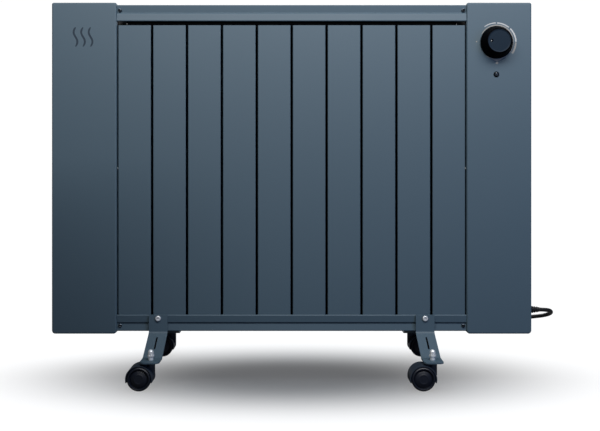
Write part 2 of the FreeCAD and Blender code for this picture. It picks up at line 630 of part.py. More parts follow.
def front_right_leg():
    """Bent strip: tab on the rail's lip, slope with a stiffening slot, flat foot for the stem."""
    foot_y = TAB_BACK_Y + LEG_SLOPE_REACH
    face = [(TAB_BACK_Y, LEG_TOP), (TAB_BACK_Y, LEG_TOP - LEG_TAB_DROP), (foot_y, CASTER_HEIGHT),
            (FOOT_EDGE_Y, CASTER_HEIGHT)]
    mirrored = [(-u, v) for u, v in face]
    outline, radii = sheet_outline(mirrored, LEG_SHEET, LEG_BEND)
    left = LEG_X - LEG_WIDTH / 2
    body = prism(outline, radii, lambda u, v: V(left, u, v), V(LEG_WIDTH, 0, 0))
    plan = [(left, 0), (left, -FOOT_EDGE_Y), (left + LEG_WIDTH, -FOOT_EDGE_Y), (left + LEG_WIDTH, 0)]
    body = body.common(prism(plan, [0, LEG_CORNER, LEG_CORNER, 0], lambda u, v: V(u, v, 0),
                             V(0, 0, LEG_TOP + 1)))
    bend = V(LEG_X, -TAB_BACK_Y, LEG_TOP - LEG_TAB_DROP)
    slope = (V(LEG_X, -foot_y, CASTER_HEIGHT) - bend).normalize()
    upward = slope.cross(X_AXIS).normalize()
    start = bend + slope * (LEG_SLOT_START + LEG_SLOT_WIDTH / 2)
    end = bend + slope * (LEG_SLOT_START + LEG_SLOT_LENGTH - LEG_SLOT_WIDTH / 2)
    side = X_AXIS * (LEG_SLOT_WIDTH / 2)
    ring = [start - side, end - side, end + side, start + side]
    reach = upward * CUT_PAST
    middle = Part.Face(Part.makePolygon(ring + ring[:1])).extrude(reach * 2)
    for tool in (middle.translated(reach * -1), rod(LEG_SLOT_WIDTH / 2, start - reach, start + reach),
                 rod(LEG_SLOT_WIDTH / 2, end - reach, end + reach)):
        body = body.cut(tool)
    screw_hole = rod(LEG_SCREW_RADIUS + SEAT_GAP, V(LEG_X, -FACE_Y - CUT_PAST, LEG_SCREW_Z),
                     V(LEG_X, -FACE_Y + CUT_PAST, LEG_SCREW_Z))
    return body.cut(stem_hole().translated(V(LEG_X, -STEM_Y, 0))).cut(screw_hole)


right_leg = front_right_leg()
left_leg = flipped(right_leg, X_AXIS)
nodes["leg_front_right"] = right_leg
nodes["leg_front_left"] = left_leg
nodes["leg_rear_right"] = flipped(right_leg, Y_AXIS)
nodes["leg_rear_left"] = flipped(left_leg, Y_AXIS)

leg_screw = pan_screw(LEG_SCREW_HEAD, LEG_SCREW_HEAD_HEIGHT, LEG_SCREW_RADIUS, LEG_SCREW_LENGTH)
nodes["leg_screws"] = Part.makeCompound([
    aimed(leg_screw, V(sx * LEG_X, sy * (TAB_BACK_Y + LEG_SHEET), LEG_SCREW_Z), V(0, sy, 0))
    for sx in (-1, 1) for sy in (-1, 1)])


# --- Casters --------------------------------------------------------------------------------------
# Built with the stem on the origin and the wheels trailing towards -X.
AXLE = V(-WHEEL_TRAIL, 0, WHEEL_RADIUS)
HOOD_TOP = CASTER_HEIGHT - STEM_COLLAR - SWIVEL_GAP


def caster_hood():
    """Moulded hood: rib between the wheels, curved guard over them and the stem's socket."""
    def slab(radius, half):
        return rod(radius, AXLE - Y_AXIS * half, AXLE + Y_AXIS * half)

    wide = 3 * HOOD_RADIUS
    upper = box(-wide, wide, -wide, wide, HOOD_SKIRT, wide)
    guard = slab(HOOD_RADIUS, HOOD_HALF).cut(slab(GUARD_INNER, HOOD_HALF)).common(upper)
    rib = slab(HOOD_RADIUS, RIB_HALF).common(upper).fuse(slab(RIB_HUB_RADIUS, RIB_HALF))
    socket = box(AXLE.x, NECK_RADIUS, -RIB_HALF, RIB_HALF, SOCKET_BOTTOM, HOOD_TOP)
    socket = socket.cut(slab(GUARD_INNER, HOOD_HALF))
    neck = rod(NECK_RADIUS, V(0, 0, NECK_BOTTOM), V(0, 0, HOOD_TOP))
    body = joined([guard, rib, socket, neck])
    body = body.cut(rod(STEM_PIN_RADIUS + RUNNING_GAP, V(0, 0, HOOD_TOP - STEM_PIN_LENGTH - 1),
                        V(0, 0, HOOD_TOP + 1)))
    return body.cut(slab(AXLE_RADIUS + SEAT_GAP, HOOD_HALF))


def caster_wheel(side_y):
    """Wheel with a rounded tread, a dished outer face with a raised ring, and a blind bore."""
    inner = RIB_HALF + WHEEL_SIDE_GAP
    width = WHEEL_WIDTH
    edge = WHEEL_EDGE
    bore = AXLE_RADIUS + RUNNING_GAP
    bore_end = width - WHEEL_FACE - WHEEL_DISH
    rim_inner = WHEEL_RADIUS - WHEEL_RIM
    ring_top = width - WHEEL_RING_DEPTH
    profile = [(bore, 0), (WHEEL_RADIUS - edge, 0), (WHEEL_RADIUS, edge), (WHEEL_RADIUS, width - edge),
               (WHEEL_RADIUS - edge * 0.4, width - edge * 0.4), (WHEEL_RADIUS - edge, width),
               (rim_inner, width), (rim_inner - WHEEL_RIM_SLOPE, width - WHEEL_DISH),
               (WHEEL_RING_OUTER, width - WHEEL_DISH_DEEPEST),
               (WHEEL_RING_OUTER - WHEEL_RING_SLOPE, ring_top), (WHEEL_RING_INNER, ring_top),
               (WHEEL_RING_INNER - WHEEL_RING_SLOPE, width - WHEEL_DISH), (0, width - WHEEL_DISH),
               (0, bore_end), (bore, bore_end)]
    return turned(profile, AXLE + Y_AXIS * (side_y * inner), V(0, side_y, 0))


def dome_nut():
    """Hexagon, groove and dome, closed over the end of the stem."""
    bottom = FOOT_TOP + SPACER
    radius = NUT_FLATS / math.sqrt(3)
    points = [V(radius * math.cos(math.radians(60 * i)), radius * math.sin(math.radians(60 * i)), bottom)
              for i in range(6)]
    hexagon = Part.Face(Part.makePolygon(points + points[:1])).extrude(V(0, 0, NUT_HEIGHT))
    neck_bottom = bottom + NUT_HEIGHT
    neck = rod(NUT_NECK_RADIUS, V(0, 0, neck_bottom), V(0, 0, neck_bottom + NUT_NECK))
    dome_middle = V(0, 0, FOOT_TOP + DOME_TOP - DOME_RADIUS)
    dome_side = rod(DOME_RADIUS, V(0, 0, neck_bottom + NUT_NECK), dome_middle)
    dome = Part.makeSphere(DOME_RADIUS, dome_middle, Z_AXIS, 0, 90, 360)
    return joined([hexagon, neck, dome_side, dome]).cut(stem_hole())


def spacer():
    return rod(SPACER_RADIUS, V(0, 0, FOOT_TOP), V(0, 0, FOOT_TOP + SPACER)).cut(stem_hole())


def caster_stem():
    """Threaded stem through the foot, collar under it and the pin that the hood turns on."""
    collar_bottom = CASTER_HEIGHT - STEM_COLLAR
    thread = rod(STEM_THREAD_RADIUS, V(0, 0, CASTER_HEIGHT), V(0, 0, FOOT_TOP + STEM_TOP))
    tip = [e for e in thread.Edges if e.BoundBox.ZMin > FOOT_TOP + STEM_TOP - 0.1]
    thread = thread.makeFillet(STEM_TIP, tip)
    collar = rod(STEM_COLLAR_RADIUS, V(0, 0, collar_bottom), V(0, 0, CASTER_HEIGHT))
    pin = rod(STEM_PIN_RADIUS, V(0, 0, collar_bottom - STEM_PIN_LENGTH), V(0, 0, collar_bottom))
    return joined([thread, collar, pin])


axle_half = RIB_HALF + WHEEL_SIDE_GAP + WHEEL_WIDTH - WHEEL_FACE - WHEEL_DISH - AXLE_END_GAP
caster_parts = {
    "hood": caster_hood(),
    "axle": rod(AXLE_RADIUS, AXLE - Y_AXIS * axle_half, AXLE + Y_AXIS * axle_half),
    "wheel_front": caster_wheel(-1),
    "wheel_rear": caster_wheel(1),
}
fixings = [spacer(), dome_nut()]
stems = []
nuts = []
for corner, side_x, side_y, trail in (("front_left", -1, -1, -1), ("front_right", 1, -1, -1),
                                      ("rear_left", -1, 1, -1), ("rear_right", 1, 1, 1)):
    spot = V(side_x * LEG_X, side_y * STEM_Y, 0)
    for piece, shape in caster_parts.items():
        facing = shape if trail < 0 else flipped(shape, X_AXIS)
        nodes[f"caster_{corner}_{piece}"] = facing.translated(spot)
    stems.append(caster_stem().translated(spot))
    nuts += [fixing.translated(spot) for fixing in fixings]
nodes["caster_stems"] = Part.makeCompound(stems)
nodes["caster_nuts"] = Part.makeCompound(nuts)


# --- Oil circuit and heating ----------------------------------------------------------------------
def header_cap(z):
    """Blanking cap on the +X side, with a boss that centres the header."""
    plate = rod(CAP_RADIUS, V(ROW_HALF, 0, z), V(ROW_HALF + CAP_THICKNESS, 0, z))
    boss = rod(HEADER_BORE - CAP_BOSS_GAP, V(ROW_HALF - CAP_BOSS_DEPTH, 0, z), V(ROW_HALF, 0, z))
    return plate.fuse(boss)


nodes["header_caps"] = Part.makeCompound([header_cap(HEADER_TOP), flipped(header_cap(HEADER_TOP), X_AXIS),
                                          flipped(header_cap(HEADER_BOTTOM), X_AXIS)])

flange = header_cap(HEADER_BOTTOM)
elements = []
terminal_x = ROW_HALF + CAP_THICKNESS + TERMINAL_LENGTH
for side_z in (-1, 1):
    z = HEADER_BOTTOM + side_z * ELEMENT_SPACING / 2
    far_x = terminal_x - ELEMENT_LENGTH
    half = ELEMENT_SPACING / 2
    line_in = Part.LineSegment(V(terminal_x, -half, z), V(far_x, -half, z)).toShape()
    turn = Part.Arc(V(far_x, -half, z), V(far_x - half, 0, z), V(far_x, half, z)).toShape()
    line_out = Part.LineSegment(V(far_x, half, z), V(terminal_x, half, z)).toShape()
    ring = Part.Wire(Part.makeCircle(ELEMENT_RADIUS, V(terminal_x, -half, z), V(-1, 0, 0)))
    elements.append(Part.Wire([line_in, turn, line_out]).makePipeShell([ring], True, False))
    for y in (-half, half):
        flange = flange.cut(rod(ELEMENT_RADIUS + SEAT_GAP, V(ROW_HALF - 2 * CAP_BOSS_DEPTH, y, z),
                                V(ROW_HALF + 2 * CAP_BOSS_DEPTH, y, z)))
nodes["element_flange"] = flange
nodes["heating_elements"] = Part.makeCompound(elements)

# The cut-out and the terminal block stand on the right inner plate.
cutout_z = HEADER_BOTTOM + CUTOUT_ABOVE_HEADER
nodes["thermal_cutout"] = rod(CUTOUT_RADIUS, V(ROW_HALF, 0, cutout_z),
                              V(ROW_HALF + CUTOUT_THICKNESS, 0, cutout_z))
nodes["terminal_block"] = box(ROW_HALF, ROW_HALF + BLOCK[0], -BLOCK[1] / 2, BLOCK[1] / 2,
                              BLOCK_Z - BLOCK[2] / 2, BLOCK_Z + BLOCK[2] / 2)

# --- Thermostat, knob and lamp --------------------------------------------------------------------
wall_y = -FACE_Y + COVER_SHEET
width, depth, height = THERMOSTAT
body = box(KNOB_X - width / 2, KNOB_X + width / 2, wall_y, wall_y + depth, KNOB_Z - height / 2,
           KNOB_Z + height / 2)
bush = rod(BUSH_RADIUS, V(KNOB_X, -FACE_Y, KNOB_Z), V(KNOB_X, wall_y + 1, KNOB_Z))
shaft_end_y = wall_y + SHAFT_INSIDE
shaft_bore = rod(SHAFT_RADIUS + RUNNING_GAP, V(KNOB_X, -FACE_Y - 1, KNOB_Z),
                 V(KNOB_X, shaft_end_y + 1, KNOB_Z))
nodes["thermostat_body"] = body.fuse(bush).cut(shaft_bore)
knob_back_y = -FACE_Y - KNOB_GAP
nodes["thermostat_shaft"] = rod(SHAFT_RADIUS, V(KNOB_X, knob_back_y - KNOB_SOCKET, KNOB_Z),
                                V(KNOB_X, shaft_end_y, KNOB_Z))


def knob():
    """Tapered knob with a straight skirt, a dished face and a finger mark at nine o'clock (off)."""
    front = KNOB_DEPTH
    rim_inner = KNOB_FACE_RADIUS - KNOB_RIM
    dish_radius = rim_inner - KNOB_RIM_SLOPE
    profile = [(0, 0), (KNOB_BASE_RADIUS, 0), (KNOB_BASE_RADIUS, KNOB_SKIRT),
               (KNOB_FACE_RADIUS + KNOB_EDGE, front - KNOB_EDGE), (KNOB_FACE_RADIUS, front),
               (rim_inner, front), (dish_radius, front - KNOB_DISH), (0, front - KNOB_DISH)]
    body = turned(profile, V(KNOB_X, knob_back_y, KNOB_Z), V(0, -1, 0))
    mark_x = KNOB_X - dish_radius + KNOB_MARK_INSET + KNOB_MARK_RADIUS
    floor_y = knob_back_y - front + KNOB_DISH + KNOB_MARK_DEPTH
    body = body.cut(rod(KNOB_MARK_RADIUS, V(mark_x, floor_y, KNOB_Z), V(mark_x, floor_y - CUT_PAST, KNOB_Z)))
    return body.cut(rod(SHAFT_RADIUS + SEAT_GAP, V(KNOB_X, knob_back_y + 1, KNOB_Z),
                        V(KNOB_X, knob_back_y - KNOB_SOCKET, KNOB_Z)))


nodes["knob"] = knob()

dome_radius = (LAMP_RADIUS ** 2 + LAMP_DOME ** 2) / (2 * LAMP_DOME)
dome = Part.makeSphere(dome_radius, V(KNOB_X, -FACE_Y - LAMP_DOME + dome_radius, LAMP_Z))
dome = dome.common(rod(LAMP_RADIUS, V(KNOB_X, -FACE_Y, LAMP_Z), V(KNOB_X, -FACE_Y - LAMP_DOME - 1, LAMP_Z)))
barrel = rod(LAMP_BARREL_RADIUS, V(KNOB_X, -FACE_Y, LAMP_Z), V(KNOB_X, -FACE_Y + LAMP_BARREL, LAMP_Z))
nodes["pilot_lamp"] = dome.fuse(barrel)


# --- Cord, coil and plug --------------------------------------------------------------------------
def cord_gland():
    """Rubber strain relief: flange inside the cover's wall, tapered sleeve outside it."""
    inside = COVER_SHEET
    tail_radius = GLAND_HOLE_RADIUS - 1
    neck_radius = GLAND_HOLE_RADIUS - GLAND_HOLE_GAP
    profile = [(0, -inside - GLAND_TAIL), (tail_radius, -inside - GLAND_TAIL),
               (tail_radius, -inside - GLAND_FLANGE), (GLAND_FLANGE_RADIUS, -inside - GLAND_FLANGE),
               (GLAND_FLANGE_RADIUS, -inside), (neck_radius, -inside), (neck_radius, 0), (GLAND_RADIUS, 0),
               (GLAND_RADIUS, GLAND_LENGTH * GLAND_STRAIGHT), (CORD_RADIUS + GLAND_TIP, GLAND_LENGTH),
               (0, GLAND_LENGTH)]
    sleeve_end = V(GLAND_END_X, 0, GLAND_HEIGHT)
    bore = rod(CORD_RADIUS + GLAND_HOLE_GAP, sleeve_end - X_AXIS * GLAND_BORE, sleeve_end + X_AXIS)
    return turned(profile, gland_axis, X_AXIS).cut(bore)


nodes["cord_gland"] = cord_gland()

# The lead leaves the gland to the side, turns back in a drooping bend and runs in behind the cover.
lead_route = [V(GLAND_END_X - GLAND_BORE, 0, GLAND_HEIGHT)]
lead_route += [V(*point) for point in LEAD_POINTS]
lead_route.append(V(COIL_X, FIRST_TURN_Y, COIL_Z - OUTER_TURN))
# Its other end comes off the top of the coil and hangs to the plug.
tail_route = []
for i in range(TAIL_STEPS + 1):
    swing = math.pi / 2 * i / TAIL_STEPS
    out = (1 - math.cos(math.pi * i / TAIL_STEPS)) / 2
    tail_route.append(V(COIL_X + OUTER_TURN * math.sin(swing), LAST_TURN_Y + PLUG_STAND_OFF * out,
                        COIL_Z + OUTER_TURN * math.cos(swing)))
tail_route.append(V(PLUG_X, PLUG_Y, PLUG_RELIEF_TOP))


def arc_radii(route, label):
    """Each bend is as large as its two runs allow: BEND_SHARE of the shorter over tan(half the turn)."""
    radii = [0]
    for before, point, after in zip(route, route[1:], route[2:]):
        run_in = point - before
        run_out = after - point
        room = BEND_SHARE * min(run_in.Length, run_out.Length)
        radii.append(room / math.tan(run_in.getAngle(run_out) / 2))
    print(label, "bend radii:", ", ".join(f"{r:.0f}" for r in radii[1:]))
    return radii + [0]


cord_solids = []
cord_length = COIL_TURNS * 2 * math.pi * COIL_MEAN_RADIUS
for label, route in (("lead", lead_route), ("tail", tail_route)):
    tube, length = swept_tube(CORD_RADIUS, route, arc_radii(route, label))
    expected = math.pi * CORD_RADIUS ** 2 * length
    print(f"{label}: {length:.1f} mm, volume {tube.Volume:.0f} of {expected:.0f}")
    cord_solids.append(tube)
    cord_length += length
print(f"whole cord: {cord_length:.0f} mm")
nodes["power_cord"] = Part.makeCompound(cord_solids)

coil_base = V(COIL_X, COIL_FRONT_Y, COIL_Z)
coil = rod(COIL_OUTER, coil_base, coil_base + Y_AXIS * COIL_DEPTH)
coil = coil.cut(rod(COIL_INNER, coil_base, coil_base + Y_AXIS * COIL_DEPTH))
coil_rims = [e for e in coil.Edges if e.BoundBox.YLength < 0.01]
nodes["cord_coil"] = coil.makeFillet(CORD_RADIUS * 0.8, coil_rims)


def tie_frame(grow, width_angle):
    """Piece of the coil's section, grown on all sides, turned part of the way round the coil."""
    corners = [V(COIL_X + COIL_INNER - grow, COIL_FRONT_Y - grow, COIL_Z),
               V(COIL_X + COIL_OUTER + grow, COIL_FRONT_Y - grow, COIL_Z),
               V(COIL_X + COIL_OUTER + grow, COIL_BACK_Y + grow, COIL_Z),
               V(COIL_X + COIL_INNER - grow, COIL_BACK_Y + grow, COIL_Z)]
    body = Part.Face(Part.makePolygon(corners + corners[:1])).revolve(coil_base, V(0, -1, 0), width_angle)
    body.rotate(coil_base, V(0, -1, 0), TIE_ANGLE - width_angle / 2)
    return body


tie_angle = math.degrees(TIE_WIDTH / COIL_MEAN_RADIUS)
tie_space = tie_frame(TIE_GAP, tie_angle + TIE_TRIM)
nodes["cord_tie"] = tie_frame(TIE_GAP + TIE_THICKNESS, tie_angle).cut(tie_space)

hook_z = COIL_Z + COIL_INNER - HOOK_CLEAR - HOOK_RADIUS
hook_end_y = COIL_BACK_Y + HOOK_CLEAR + HOOK_RADIUS + HOOK_PAST_COIL
plate = box(COIL_X - HOOK_PLATE[0] / 2, COIL_X + HOOK_PLATE[0] / 2, FACE_Y, FACE_Y + HOOK_PLATE[1],
            hook_z - HOOK_PLATE[2] / 2, hook_z + HOOK_PLATE[2] / 2)
plate_corners = [e for e in plate.Edges if abs(e.BoundBox.YLength - HOOK_PLATE[1]) < 0.01]
plate = plate.makeFillet(HOOK_PLATE_CORNER, plate_corners)
arm_path = [V(COIL_X, FACE_Y + HOOK_PLATE[1] / 2, hook_z), V(COIL_X, hook_end_y, hook_z),
            V(COIL_X, hook_end_y, hook_z + HOOK_RADIUS + HOOK_TIP)]
arm, arm_length = swept_tube(HOOK_RADIUS, arm_path, [0, HOOK_BEND, 0])
nodes["cord_hook"] = plate.fuse(arm)

relief_bottom = PLUG_RELIEF_TOP - PLUG_RELIEF
plug_face = relief_bottom - PLUG_BODY
plug_profile = [(0, 0), (PLUG_RADIUS - PLUG_CHAMFER, 0), (PLUG_RADIUS, PLUG_CHAMFER),
                (PLUG_RADIUS, PLUG_RIM),
                (PLUG_RADIUS - PLUG_RIM_SLOPE[0], PLUG_RIM + PLUG_RIM_SLOPE[1]),
                (PLUG_WAIST + PLUG_SHOULDER[0], PLUG_BODY - PLUG_SHOULDER[1]), (PLUG_WAIST, PLUG_BODY),
                (CORD_RADIUS + PLUG_RELIEF_ROOT, PLUG_BODY),
                (CORD_RADIUS + PLUG_RELIEF_TIP, PLUG_BODY + PLUG_RELIEF), (0, PLUG_BODY + PLUG_RELIEF)]
nodes["plug"] = turned(plug_profile, V(PLUG_X, PLUG_Y, plug_face), Z_AXIS)
pins = []
for side_x in (-1, 1):
    pin_x = PLUG_X + side_x * PIN_SPACING / 2
    pin = rod(PIN_RADIUS, V(pin_x, PLUG_Y, plug_face), V(pin_x, PLUG_Y, plug_face - PIN_LENGTH))
    tip = [e for e in pin.Edges if e.BoundBox.ZMax < plug_face - PIN_LENGTH / 2]
    pins.append(pin.makeFillet(PIN_RADIUS * PIN_ROUND, tip))
nodes["plug_pins"] = Part.makeCompound(pins)


# --- Leads inside the right cover -----------------------------------------------------------------
def lead(points):
    tube, length = swept_tube(LEAD_RADIUS, points, [0] + [LEAD_BEND] * (len(points) - 2) + [0])
    return tube


block_face_x = ROW_HALF + BLOCK[0]
block_top = BLOCK_Z + BLOCK[2] / 2
block_bottom = BLOCK_Z - BLOCK[2] / 2
thermostat_bottom = KNOB_Z - height / 2
lead_x = ROW_HALF + BLOCK[0] / 2
leads = []
for i, y in enumerate(LEAD_LIVE_Y):
    drop_y = wall_y + depth / 2
    drop_x = KNOB_X + LEAD_FROM_KNOB + LEAD_SPACING * i
    shelf = thermostat_bottom - 2 * LEAD_BEND - LEAD_SPACING * i
    leads.append(lead([V(lead_x, y, block_top), V(lead_x, y, shelf), V(drop_x, drop_y, shelf),
                       V(drop_x, drop_y, thermostat_bottom)]))
for i, y in enumerate((-ELEMENT_SPACING / 2, ELEMENT_SPACING / 2)):
    terminal_z = HEADER_BOTTOM + ELEMENT_SPACING / 2
    out_x = terminal_x + LEAD_FROM_ELEMENT
    leads.append(lead([V(terminal_x, y, terminal_z), V(out_x, y, terminal_z), V(out_x, y, BLOCK_Z),
                       V(block_face_x, y, BLOCK_Z)]))
gland_inner_x = COVER_OUTER - COVER_SHEET - GLAND_TAIL
earth_x = gland_inner_x - LEAD_FROM_GLAND
leads.append(lead([V(gland_inner_x, 0, GLAND_HEIGHT), V(earth_x, 0, GLAND_HEIGHT),
                   V(earth_x, LEAD_EARTH_Y, BLOCK_Z), V(block_face_x, LEAD_EARTH_Y, BLOCK_Z)]))
nodes["internal_wiring"] = Part.makeCompound(leads)

# --- Output ---------------------------------------------------------------------------------------
os.makedirs("parts", exist_ok=True)
for name, shape in nodes.items():
    shape.exportStep(f"parts/{name}.step")
    if not shape.isValid():
        print("not valid:", name)
print(len(nodes), "nodes")
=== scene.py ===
import json
import math

import bmesh
import bpy
import numpy as np
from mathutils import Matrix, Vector

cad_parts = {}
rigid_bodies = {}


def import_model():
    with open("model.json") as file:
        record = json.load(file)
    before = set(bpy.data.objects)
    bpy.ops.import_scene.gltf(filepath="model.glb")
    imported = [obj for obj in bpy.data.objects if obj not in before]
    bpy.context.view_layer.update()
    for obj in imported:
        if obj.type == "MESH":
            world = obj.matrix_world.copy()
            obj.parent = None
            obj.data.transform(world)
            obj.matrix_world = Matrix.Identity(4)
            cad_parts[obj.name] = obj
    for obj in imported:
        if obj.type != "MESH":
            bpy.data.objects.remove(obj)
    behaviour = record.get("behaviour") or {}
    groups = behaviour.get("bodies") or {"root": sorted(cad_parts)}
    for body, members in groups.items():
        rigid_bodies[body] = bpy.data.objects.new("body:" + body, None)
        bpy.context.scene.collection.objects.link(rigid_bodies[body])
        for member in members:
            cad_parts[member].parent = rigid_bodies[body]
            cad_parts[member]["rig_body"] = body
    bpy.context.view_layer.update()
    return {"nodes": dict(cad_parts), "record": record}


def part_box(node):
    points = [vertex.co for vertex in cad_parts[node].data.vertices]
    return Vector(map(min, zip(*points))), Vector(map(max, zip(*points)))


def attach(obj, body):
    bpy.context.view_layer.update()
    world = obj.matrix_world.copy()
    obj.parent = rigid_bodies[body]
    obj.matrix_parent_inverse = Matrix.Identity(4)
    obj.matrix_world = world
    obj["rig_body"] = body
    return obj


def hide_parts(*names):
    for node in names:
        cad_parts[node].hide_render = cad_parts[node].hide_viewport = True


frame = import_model()

# Oil filled column radiator. Metres, the CAD frame: +X along the fins, -Y the front, +Z up.
MM = 0.001


def middle(node):
    low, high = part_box(node)
    return (low + high) / 2


# --- Camera ---------------------------------------------------------------------------------------
camera_data = bpy.data.cameras.new("camera")
camera_data.sensor_width = 36.0
camera_data.lens = 46.98
camera_data.shift_x = 0.0139
camera_data.shift_y = -0.0792
camera_data.clip_end = 100.0
camera = bpy.data.objects.new("camera", camera_data)
camera.location = (0.0, -1.395, 0.361)
camera.rotation_euler = (math.radians(90), 0.0, 0.0)
bpy.context.scene.collection.objects.link(camera)
bpy.context.scene.camera = camera


# --- Materials ------------------------------------------------------------------------------------
def srgb(code):
    """Linear colour of an sRGB hex code such as "#4c5c68"."""
    channels = [int(code[i:i + 2], 16) / 255 for i in (1, 3, 5)]
    return tuple(c / 12.92 if c <= 0.04045 else ((c + 0.055) / 1.055) ** 2.4 for c in channels) + (1.0,)


def per_metre(size_mm):
    """Texture scale whose cells are size_mm across, in Object coordinates."""
    return 1000.0 / size_mm


def add_node(tree, kind, numbered=None, **values):
    """Adds a shader node. A named value is an input (underscores for spaces) or a property, and
    numbered gives inputs by their place. A socket is linked, anything else is set."""
    node = tree.nodes.new(kind)
    inputs = {}
    for name, value in values.items():
        socket = name.replace("_", " ")
        if socket in node.inputs:
            inputs[socket] = value
        else:
            setattr(node, name, value)
    inputs.update(numbered or {})
    for socket, value in inputs.items():
        if isinstance(value, bpy.types.NodeSocket):
            tree.links.new(value, node.inputs[socket])
        else:
            node.inputs[socket].default_value = value
    return node


def empty_material(name):
    material = bpy.data.materials.new(name)
    material.use_nodes = True
    material.node_tree.nodes.clear()
    return material, material.node_tree


def new_material(name):
    material, tree = empty_material(name)
    shader = add_node(tree, "ShaderNodeBsdfPrincipled")
    add_node(tree, "ShaderNodeOutputMaterial", Surface=shader.outputs["BSDF"])
    place = add_node(tree, "ShaderNodeTexCoord").outputs["Object"]
    return material, tree, shader, place


def fine_texture(tree, place, shader, size_mm, height_mm, low, high, patch_mm):
    """Fine bumps of one size and height, and a roughness that drifts between two values."""
    grain = add_node(tree, "ShaderNodeTexNoise", Vector=place, Scale=per_metre(size_mm), Detail=2.0)
    bump = add_node(tree, "ShaderNodeBump", Strength=1.0, Distance=height_mm * MM,
                    Height=grain.outputs["Fac"])
    patches = add_node(tree, "ShaderNodeTexNoise", Vector=place, Scale=per_metre(patch_mm), Detail=1.0)
    drift = add_node(tree, "ShaderNodeMapRange", Value=patches.outputs["Fac"], To_Min=low, To_Max=high)
    tree.links.new(bump.outputs["Normal"], shader.inputs["Normal"])
    tree.links.new(drift.outputs["Result"], shader.inputs["Roughness"])


def clear_of_painted_shade(tree, place, shade_depth):
    """1 where the coat keeps its own colour: farther from the middle than the given depth, and facing
    outward. The rest, the inner faces and hollows, gets painted shade.
    """
    depth = add_node(tree, "ShaderNodeSeparateXYZ", Vector=place).outputs["Y"]
    normal = add_node(tree, "ShaderNodeTexCoord").outputs["Normal"]
    facing = add_node(tree, "ShaderNodeSeparateXYZ", Vector=normal).outputs["Y"]
    from_middle = add_node(tree, "ShaderNodeMath", {0: depth}, operation="ABSOLUTE")
    outer = add_node(tree, "ShaderNodeMapRange", Value=from_middle.outputs["Value"],
                     From_Min=(shade_depth - 1.0) * MM, From_Max=shade_depth * MM)
    away = add_node(tree, "ShaderNodeMath", {0: depth, 1: facing}, operation="MULTIPLY")
    outward = add_node(tree, "ShaderNodeMapRange", Value=away.outputs["Value"],
                       From_Min=-0.02, From_Max=-0.004)
    both = add_node(tree, "ShaderNodeMath", {0: outer.outputs["Result"], 1: outward.outputs["Result"]},
                    operation="MULTIPLY")
    return both.outputs["Value"]


def powder_coat(name, colour, low, high, shade_depth=None):
    """Satin polyester powder coat, baked on sheet steel after spraying: slight orange peel. Given a depth,
    the inner faces and the hollows between parts are painted near black without gloss: painted shade that
    makes the gaps read black."""
    material, tree, shader, place = new_material(name)
    shader.inputs["Base Color"].default_value = srgb(colour)
    shader.inputs["Specular IOR Level"].default_value = PAINT_SHEEN
    fine_texture(tree, place, shader, 1.6, 0.012, low, high, 90.0)
    if shade_depth:
        # Painted shade: near black colour and no gloss on inner faces and in the hollows between parts.
        own_coat_share = clear_of_painted_shade(tree, place, shade_depth)
        coat = add_node(tree, "ShaderNodeMix", {0: own_coat_share, 6: srgb(PAINTED_SHADE), 7: srgb(colour)},
                        data_type="RGBA")
        sheen = add_node(tree, "ShaderNodeMath", {0: own_coat_share, 1: PAINT_SHEEN}, operation="MULTIPLY")
        tree.links.new(coat.outputs[2], shader.inputs["Base Color"])
        tree.links.new(sheen.outputs["Value"], shader.inputs["Specular IOR Level"])
    return material


def moulded(name, colour, low, high, specular):
    """Injection moulded plastic or rubber, with the fine grain of an eroded mould."""
    material, tree, shader, place = new_material(name)
    shader.inputs["Base Color"].default_value = srgb(colour)
    shader.inputs["Specular IOR Level"].default_value = specular
    fine_texture(tree, place, shader, 0.5, 0.006, low, high, 25.0)
    return material


def plated(name, colour, low, high, metal=1.0):
    """Electroplated or bare metal, with faint unevenness left by barrel plating. Below 1, metal is the
    metallic share, and the rest is a pale diffuse colour that keeps the part bright as if it mirrored bright
    surroundings: painted reflection."""
    material, tree, shader, place = new_material(name)
    shader.inputs["Base Color"].default_value = srgb(colour)
    shader.inputs["Metallic"].default_value = metal
    fine_texture(tree, place, shader, 0.8, 0.004, low, high, 6.0)
    return material


def printed(name, colour):
    """Pad printed ink, matt and opaque."""
    material, tree, shader, place = new_material(name)
    shader.inputs["Base Color"].default_value = srgb(colour)
    shader.inputs["Specular IOR Level"].default_value = 0.3
    fine_texture(tree, place, shader, 0.3, 0.002, 0.55, 0.7, 10.0)
    return material


# Near black painted where shade falls in the gaps and on inner faces: painted shade.
PAINTED_SHADE = "#040506"
PAINT = "#384b57"
PAINT_SHEEN = 0.6
# Blue grey satin coat: broad soft highlights on the flats, sharper along the folds.
# Fins and rails get painted shade inside, from the given depth inward.
fin_paint = powder_coat("fin powder coat with painted shade", PAINT, 0.58, 0.64, shade_depth=39.8)
cover_paint = powder_coat("cover powder coat", PAINT, 0.57, 0.63)
rail_paint = powder_coat("rail powder coat with painted shade", PAINT, 0.57, 0.63, shade_depth=37.6)
leg_paint = powder_coat("leg powder coat", PAINT, 0.57, 0.63)
# Sheet behind the covers painted dead black with no highlight, so the gaps beside the end fins read dark:
# painted shade.
inner_steel = moulded("steel painted shade black", "#040506", 0.6, 0.7, 0.1)
# Bright zinc: nearly half pale diffuse white, a painted reflection standing in for a bright room, with small
# clear highlights; black zinc is darker and mirrors more.
zinc = plated("bright zinc plate", "#e6e8ea", 0.30, 0.42, metal=0.55)
dark_zinc = plated("black zinc plate", "#5d656f", 0.16, 0.24)
# Blue black nylon: the hoods catch the light along their edges, the wheels only on the rim.
hood_nylon = moulded("caster hood nylon", "#222a34", 0.32, 0.42, 0.5)
wheel_nylon = moulded("wheel nylon", "#080f1c", 0.44, 0.50, 0.5)
